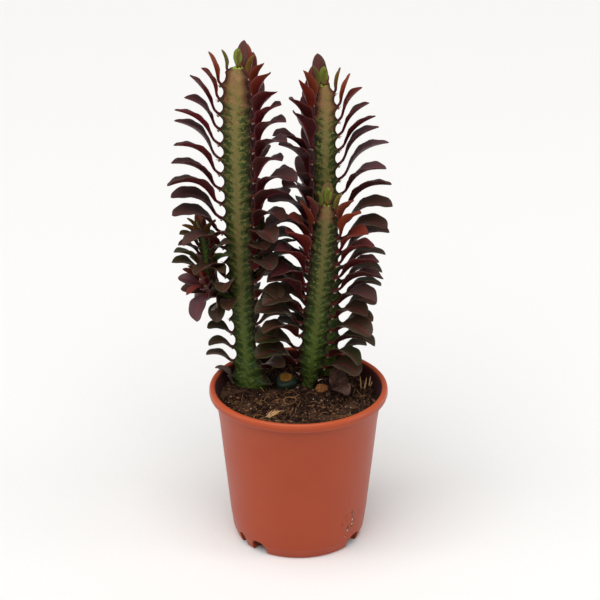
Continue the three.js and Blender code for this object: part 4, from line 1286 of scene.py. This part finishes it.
def straw_spikes():
    """Five split straws that stand up by the right wall, and a bundle of five in front."""
    feet = np.array([(42.6, 14.5), (45.2, 17.0), (47.6, 18.4), (44.6, 15.4), (48.6, 19.6)])
    tops = feet + np.array([(-1.0, 1.5), (0.8, 1.5), (1.2, 0.5), (0.6, 2.0), (1.4, 0.6)])
    height = np.array([10.5, 8.0, 8.5, 4.5, 4.0])[:, None]
    u = np.linspace(0, 1, 9)
    flat = blend(feet[:, None], tops[:, None], u[:, None])
    standing = np.concatenate([flat, (98 + height * u)[..., None]], -1)
    i = np.arange(5)[:, None]
    x = blend(-22.0 + 1.3 * i, -17.5 + 1.6 * i, u)
    y = blend(-27.5 + 0.8 * i, -19.5 - 0.7 * i, u)
    lying = np.stack([x, y, crumbly_height(x, y) + 0.5 + 2.4 * u * (1 - 0.4 * u)], -1)
    return np.concatenate([standing, lying])


def fibre_ring():
    """A coiled root: most of an ellipse of 8 by 10 mm that tilts up at the back."""
    a = np.linspace(-0.6, 5.4, 9)
    x, y = -5.7 + 4.2 * np.cos(a), -4.4 + 4.8 * np.sin(a)
    return np.stack([x, y, crumbly_height(x, y) + 0.9 + 1.4 * np.sin(a).clip(0, 1)], -1)[None]


def stump_skin():
    """Rings up the stub: a round plug, a swollen foot with three faint lobes, and a slanting,
    slightly sunken cut face."""
    x, y, radius, top, plug, depth = (
        STUMP[key] for key in ("x", "y", "radius", "top", "plug", "depth"))
    # Radius, height, slant and share of the cut face.
    profile = [(plug * 0.92, GROUND - depth, 0, 0), (plug * 0.92, GROUND - 3, 0, 0)]
    profile += [(radius * share, GROUND + rise, slant, 0) for share, rise, slant in (
        (0.86, -1.2, 0), (0.95, 0.4, 0), (1, 1.6, 0), (0.99, 2.8, 0.1))]
    profile += [(radius * share, top - drop, slant, cut) for share, drop, slant, cut in (
        (0.92, 2.2, 0.5, 0), (0.78, 1.0, 0.9, 0.1), (0.62, 0.35, 1.2, 0.45),
        (0.53, 0.25, 1.3, 0.7), (0.42, 0.5, 1.1, 0.9), (0.2, 0.65, 0.6, 1))]
    r, z, slant, cut = np.array(profile, float).T[:, :, None]
    angle = around(40)
    lobe = 1 + 0.09 * np.cos(3 * angle) * (r > plug)
    rings = rounds(r * lobe, angle, z + slant * np.sin(angle), x, y)
    rings = rings + 0.15 * fractal(rings, 3.0, 2, 31)[..., None] * (0.3, 0.3, 1)
    return *shell(rings, (x, y, GROUND - depth), (x, y, top - 0.7)), dict(
        cut=each_point(np.broadcast_to(cut, rings.shape[:2])[None], 0, 1))


def chip_skin():
    """A round of bark: an ellipse of the chip's size with a wavy rim, rounded edges and a dished
    top."""
    x, y, thick, low = CHIP["x"], CHIP["y"], CHIP["thick"], CHIP["seat"] + 0.8
    angle = around(36)
    edge = 1 + 0.05 * np.cos(3 * angle + 0.6) + 0.03 * np.sin(7 * angle)
    share = np.array([0.55, 0.9, 1.0, 1.0, 0.93, 0.84, 0.5])[:, None] * edge
    level = np.array([0.0, 0.05, 0.3, 0.7, 0.95, 1.0, 0.86])[:, None] * thick
    px, py = share * CHIP["long"] / 2 * np.cos(angle), share * CHIP["wide"] / 2 * np.sin(angle)
    cos, sin = math.cos(math.radians(CHIP["turn"])), math.sin(math.radians(CHIP["turn"]))
    rings = np.stack([x + px * cos - py * sin, y + px * sin + py * cos,
                      low + level + CHIP["tilt"] * py], -1)
    points, faces = shell(rings, (x, y, low), (x, y, low + thick * 0.84))
    return points, faces, dict(tone=np.zeros(len(points)))


def loose_leaf(spec):
    """A withered leaf, wrinkled by noise, with its lowest point at a given height."""
    leaf = sprout(STEMS[0], 0.0, UP, spec["bearing"], **spec["blade"],
                  root=np.array([spec["x"], spec["y"], 0.0]))
    points, faces, _ = leaf_skins([leaf], rows=22, wrinkle=spec["wrinkle"])
    points[:, 2] += spec["lowest"] - points[:, 2].min()
    tone = np.clip(leaf["tone"] + 0.15 * fractal(points, 4.0, 2, 3), 0, 1)
    return points, faces, dict(tone=tone)


# ------------------------------------------------------------------ what a user would change
def colour(name, text, code):
    """A colour setting with an sRGB default."""
    return FloatVectorProperty(name=name, description=text, subtype="COLOR", size=4, min=0, max=1,
                               default=linear(code))


def number(name, text, default, most, kind=FloatProperty, **more):
    """A setting for an amount from 0 up."""
    return kind(name=name, description=text, default=default, max=most, **{"min": 0, **more})


class PotSettings(bpy.types.PropertyGroup):
    """Colours and fineness of the pot"""
    wall: colour("Wall", "Colour of the moulded plastic", "#9b3c1c")
    wall_light: colour("Wall, lighter", "Colour in the lighter clouds of the plastic", "#a54321")
    # The lip colour is lighter than the wall: a painted highlight where the light from above falls
    # on the lip.
    lip: colour("Lip", "Colour of the sunlit lip", "#b95029")
    columns: number("Columns", "Faces round the pot", POT_COLUMNS, 512, IntProperty, min=24)


class SoilSettings(bpy.types.PropertyGroup):
    """Colours of the soil and how much lies on it"""
    dark: colour("Dark peat", "Colour of the moist peat", "#1c0f0a")
    light: colour("Light peat", "Colour of the dry peat", "#40281c")
    crumbs: number("Crumbs", "Loose lumps of peat", 2400, 4000, IntProperty)
    fibres: number("Fibres", "Strands of coir on the soil", 380, 2000, IntProperty)
    grains: number("Perlite", "White grains of perlite", 46, 500, IntProperty)


class PlantSettings(bpy.types.PropertyGroup):
    """Form of the ribs and spines, and colours of the stems and leaves"""
    tooth_depth: number("Tooth depth", "How far a rib falls back between two teeth, as a share "
                        "of its reach", 0.27, 0.4, subtype="FACTOR")
    spine_length: number("Spine length", "Length of the longest spines", 3.4 * MM, 0.01,
                         unit="LENGTH")
    green: colour("Green", "Skin between the streaks and the blotches", "#2e3a15")
    streak: colour("Streaks", "Pale streaks to the teeth", "#605f2d")
    blotch: colour("Blotches", "Dark marbling", "#1b280c")
    band: colour("Band", "Pale band down each face", "#6d6537")
    leaf_over: colour("Leaf, above", "Upper face of a grown leaf", "#361819")
    leaf_under: colour("Leaf, below", "Underside of a grown leaf", "#320f0f")
    midrib: colour("Midrib", "Midrib of a leaf", "#8c1f33")


class StageSettings(bpy.types.PropertyGroup):
    """Floor and lights"""
    floor: colour("Floor", "Colour of the background paper", "#efeeec")
    overhead: number("Overhead light", "Strength of the wide light from above the camera", 2.6, 20)
    panels: number("Side panels", "Power of each of the tall panels at the sides", 3.0, 200,
                   unit="POWER")
    surround: number("Surround", "Brightness of the white room", 0.3, 3)


# ------------------------------------------------------------------ operators
class EUPHORBIA_OT_pot(bpy.types.Operator):
    """Turn the pot from its outline and cut the drain notches"""
    bl_idname = "euphorbia.pot"
    bl_label = "Pot"

    def execute(self, context):
        columns = context.scene.euphorbia_pot.columns
        skin = (*turned(rounded(pot_outline(), EDGE_ROUNDING), columns), {})
        piece = make_piece("pot_shell", skin, moulded_polypropylene, ["pot"])
        cut_by(piece, [arch_cutter(*place) for place in NOTCHES])
        return {"FINISHED"}


class EUPHORBIA_OT_soil(bpy.types.Operator):
    """Fill the pot with soil up to its crumbly surface"""
    bl_idname = "euphorbia.soil"
    bl_label = "Soil"

    def execute(self, context):
        make_piece("soil_bed", soil_skin(), peat_soil, ["soil"])
        return {"FINISHED"}


class EUPHORBIA_OT_litter(bpy.types.Operator):
    """Scatter crumbs, fibres, perlite, bark bits and straw over the soil"""
    bl_idname = "euphorbia.litter"
    bl_label = "Litter on the soil"

    def execute(self, context):
        settings = context.scene.euphorbia_soil
        scatter_lumps("soil_crumbs", peat_soil, (settings.crumbs, 1, 52.3, 0.5),
                      (0.3, 0.9, 3))
        scatter_lumps("perlite_grains", expanded_perlite, (settings.grains, 2, 51, 1.0),
                      (0.35, 0.4, 2))
        scatter_lumps("bark_bits", weathered_bark, (60, 3, 50, 1.5), (0.9, 1.3, 2), 0.4)
        lines, numbers = fibre_lines(settings.fibres, seed=4, shortest=2.5, longest=11)
        skins = [strands(group, numbers.uniform(*radius, len(group)),
                         numbers.uniform(*tone, len(group)))
                 for group, radius, tone in ((lines, (0.08, 0.2), (0.1, 0.85)),
                                             (straw_spikes(), (0.4, 0.62), (0.88, 1)))]
        skins.append(strands(fibre_ring(), np.array([0.3]), np.array([0.8])))
        make_piece("soil_fibres", gather(skins), coir_fibre)
        return {"FINISHED"}


def each_plant(part, skins_of, build):
    """A piece of each plant from the skins of its stems."""
    for plant in PLANTS:
        skins = [skin for stem in STEMS if stem["plant"] == plant for skin in skins_of(stem)]
        make_piece(plant + part, gather(skins), build, [plant])


class EUPHORBIA_OT_stems(bpy.types.Operator):
    """Loft the ribbed stems and their side twigs"""
    bl_idname = "euphorbia.stems"
    bl_label = "Stems"

    def execute(self, context):
        depth = context.scene.euphorbia_plant.tooth_depth
        each_plant("_body", lambda stem: [ribbed_stem(stem, depth)], waxy_marbled_skin)
        return {"FINISHED"}


class EUPHORBIA_OT_leaves(bpy.types.Operator):
    """Grow the leaves and the buds at the tips"""
    bl_idname = "euphorbia.leaves"
    bl_label = "Leaves"

    def execute(self, context):
        grown = grow_leaves()
        if not grown:
            raise RuntimeError("the growth rule placed no leaves")
        for plant in PLANTS:
            leaves = [leaf for leaf in grown if leaf["stem"]["plant"] == plant]
            buds = [bud for stem in STEMS if stem["plant"] == plant for bud in tip_buds(stem)]
            skins = gather([leaf_skins(leaves), leaf_skins(buds, rows=8)])
            make_piece(plant + "_leaves", skins, satin_leaf_skin, [plant])
        return {"FINISHED"}


class EUPHORBIA_OT_spines(bpy.types.Operator):
    """Set a pair of spines on every tooth"""
    bl_idname = "euphorbia.spines"
    bl_label = "Spines"

    def execute(self, context):
        length = context.scene.euphorbia_plant.spine_length / MM
        each_plant("_spines", lambda stem: spine_skins(stem, length), horny_spine)
        return {"FINISHED"}


class EUPHORBIA_OT_litterfall(bpy.types.Operator):
    """Make the cut stump, the round of bark and the withered leaves"""
    bl_idname = "euphorbia.litterfall"
    bl_label = "Stump, bark and withered leaves"

    def execute(self, context):
        make_piece("stump", stump_skin(), healed_stump, ["cut_stump"])
        make_piece("bark_round", chip_skin(), weathered_bark, ["bark_chip"])
        curled = gather([loose_leaf(DEAD_LEAF), loose_leaf(HUNG_LEAF)])
        make_piece("curled_leaf", curled, withered_skin, ["withered_leaf"])
        make_piece("leaf_on_rim", loose_leaf(RIM_LEAF), withered_skin, ["rim_leaf"])
        return {"FINISHED"}


class EUPHORBIA_OT_stage(bpy.types.Operator):
    """Lay the white floor and set the lights and the camera"""
    bl_idname = "euphorbia.stage"
    bl_label = "Stage"

    def execute(self, context):
        scene = context.scene
        settings = scene.euphorbia_stage
        corners = np.array([(-1, -1, 0), (1, -1, 0), (1, 1, 0), (-1, 1, 0)]) * FLOOR_HALF
        mesh = new_mesh("studio_floor", corners, [np.arange(4)[None]])
        mesh.materials.append(finish(studio_paper))
        floor = new_object("studio_floor", mesh)
        world = bpy.data.worlds.new("white_room")
        world.use_nodes = True
        back = world.node_tree.nodes["Background"]
        back.inputs["Color"].default_value = (1, 1, 1, 1)
        back.inputs["Strength"].default_value = settings.surround
        scene.world = world
        scene.view_settings.view_transform = "Standard"
        sky = bpy.data.lights.new("overhead", "SUN")
        sky.energy = settings.overhead
        sky.angle = math.radians(SUN_SPREAD)
        new_object("overhead", sky).rotation_euler = (*map(math.radians, SUN_TILT), 0)
        for name, place in PANELS.items():
            panel = bpy.data.lights.new(name, "AREA")
            panel.energy = settings.panels
            panel.shape = "RECTANGLE"
            panel.size, panel.size_y = PANEL_SIZE
            lamp = new_object(name, panel)
            lamp.location = place
            aim = Vector(PANEL_AIM) - Vector(place)
            lamp.rotation_euler = aim.to_track_quat("-Z", "Y").to_euler()
        view = bpy.data.cameras.new("photo_view")
        view.lens = CAMERA_LENS
        view.shift_x = CAMERA_SHIFT
        scene.camera = new_object("photo_view", view)
        scene.camera.location = CAMERA_AT
        scene.camera.rotation_euler = (math.radians(90 - CAMERA_PITCH), 0, 0)
        return {"FINISHED"}


class EUPHORBIA_PT_sidebar(bpy.types.Panel):
    """The settings and the operators, in the order in which they run"""
    bl_label = "Potted Euphorbia"
    bl_space_type = "VIEW_3D"
    bl_region_type = "UI"
    bl_category = "Euphorbia"

    def draw(self, context):
        for group, kind in SETTINGS.items():
            box = self.layout.box()
            for key in kind.__annotations__:
                box.prop(getattr(context.scene, group), key)
        for operator in OPERATORS:
            self.layout.operator(operator.bl_idname)


SETTINGS = {"euphorbia_pot": PotSettings, "euphorbia_soil": SoilSettings,
            "euphorbia_plant": PlantSettings, "euphorbia_stage": StageSettings}
OPERATORS = (EUPHORBIA_OT_pot, EUPHORBIA_OT_soil, EUPHORBIA_OT_litter, EUPHORBIA_OT_stems,
             EUPHORBIA_OT_leaves, EUPHORBIA_OT_spines, EUPHORBIA_OT_litterfall,
             EUPHORBIA_OT_stage)
CLASSES = (*SETTINGS.values(), *OPERATORS, EUPHORBIA_PT_sidebar)


def register():
    """Add the classes and the settings of the scene."""
    for made in CLASSES:
        bpy.utils.register_class(made)
    for key, group in SETTINGS.items():
        setattr(bpy.types.Scene, key, PointerProperty(type=group))


def unregister():
    """Take the settings and the classes away again."""
    for key in SETTINGS:
        delattr(bpy.types.Scene, key)
    for made in reversed(CLASSES):
        bpy.utils.unregister_class(made)


def main():
    """Build the part."""
    register()
    for stem in STEMS:
        prepare(stem)
    for operator in OPERATORS:
        family, name = operator.bl_idname.split(".")
        getattr(getattr(bpy.ops, family), name)()
    bpy.context.view_layer.update()


if __name__ == "__main__":
    main()
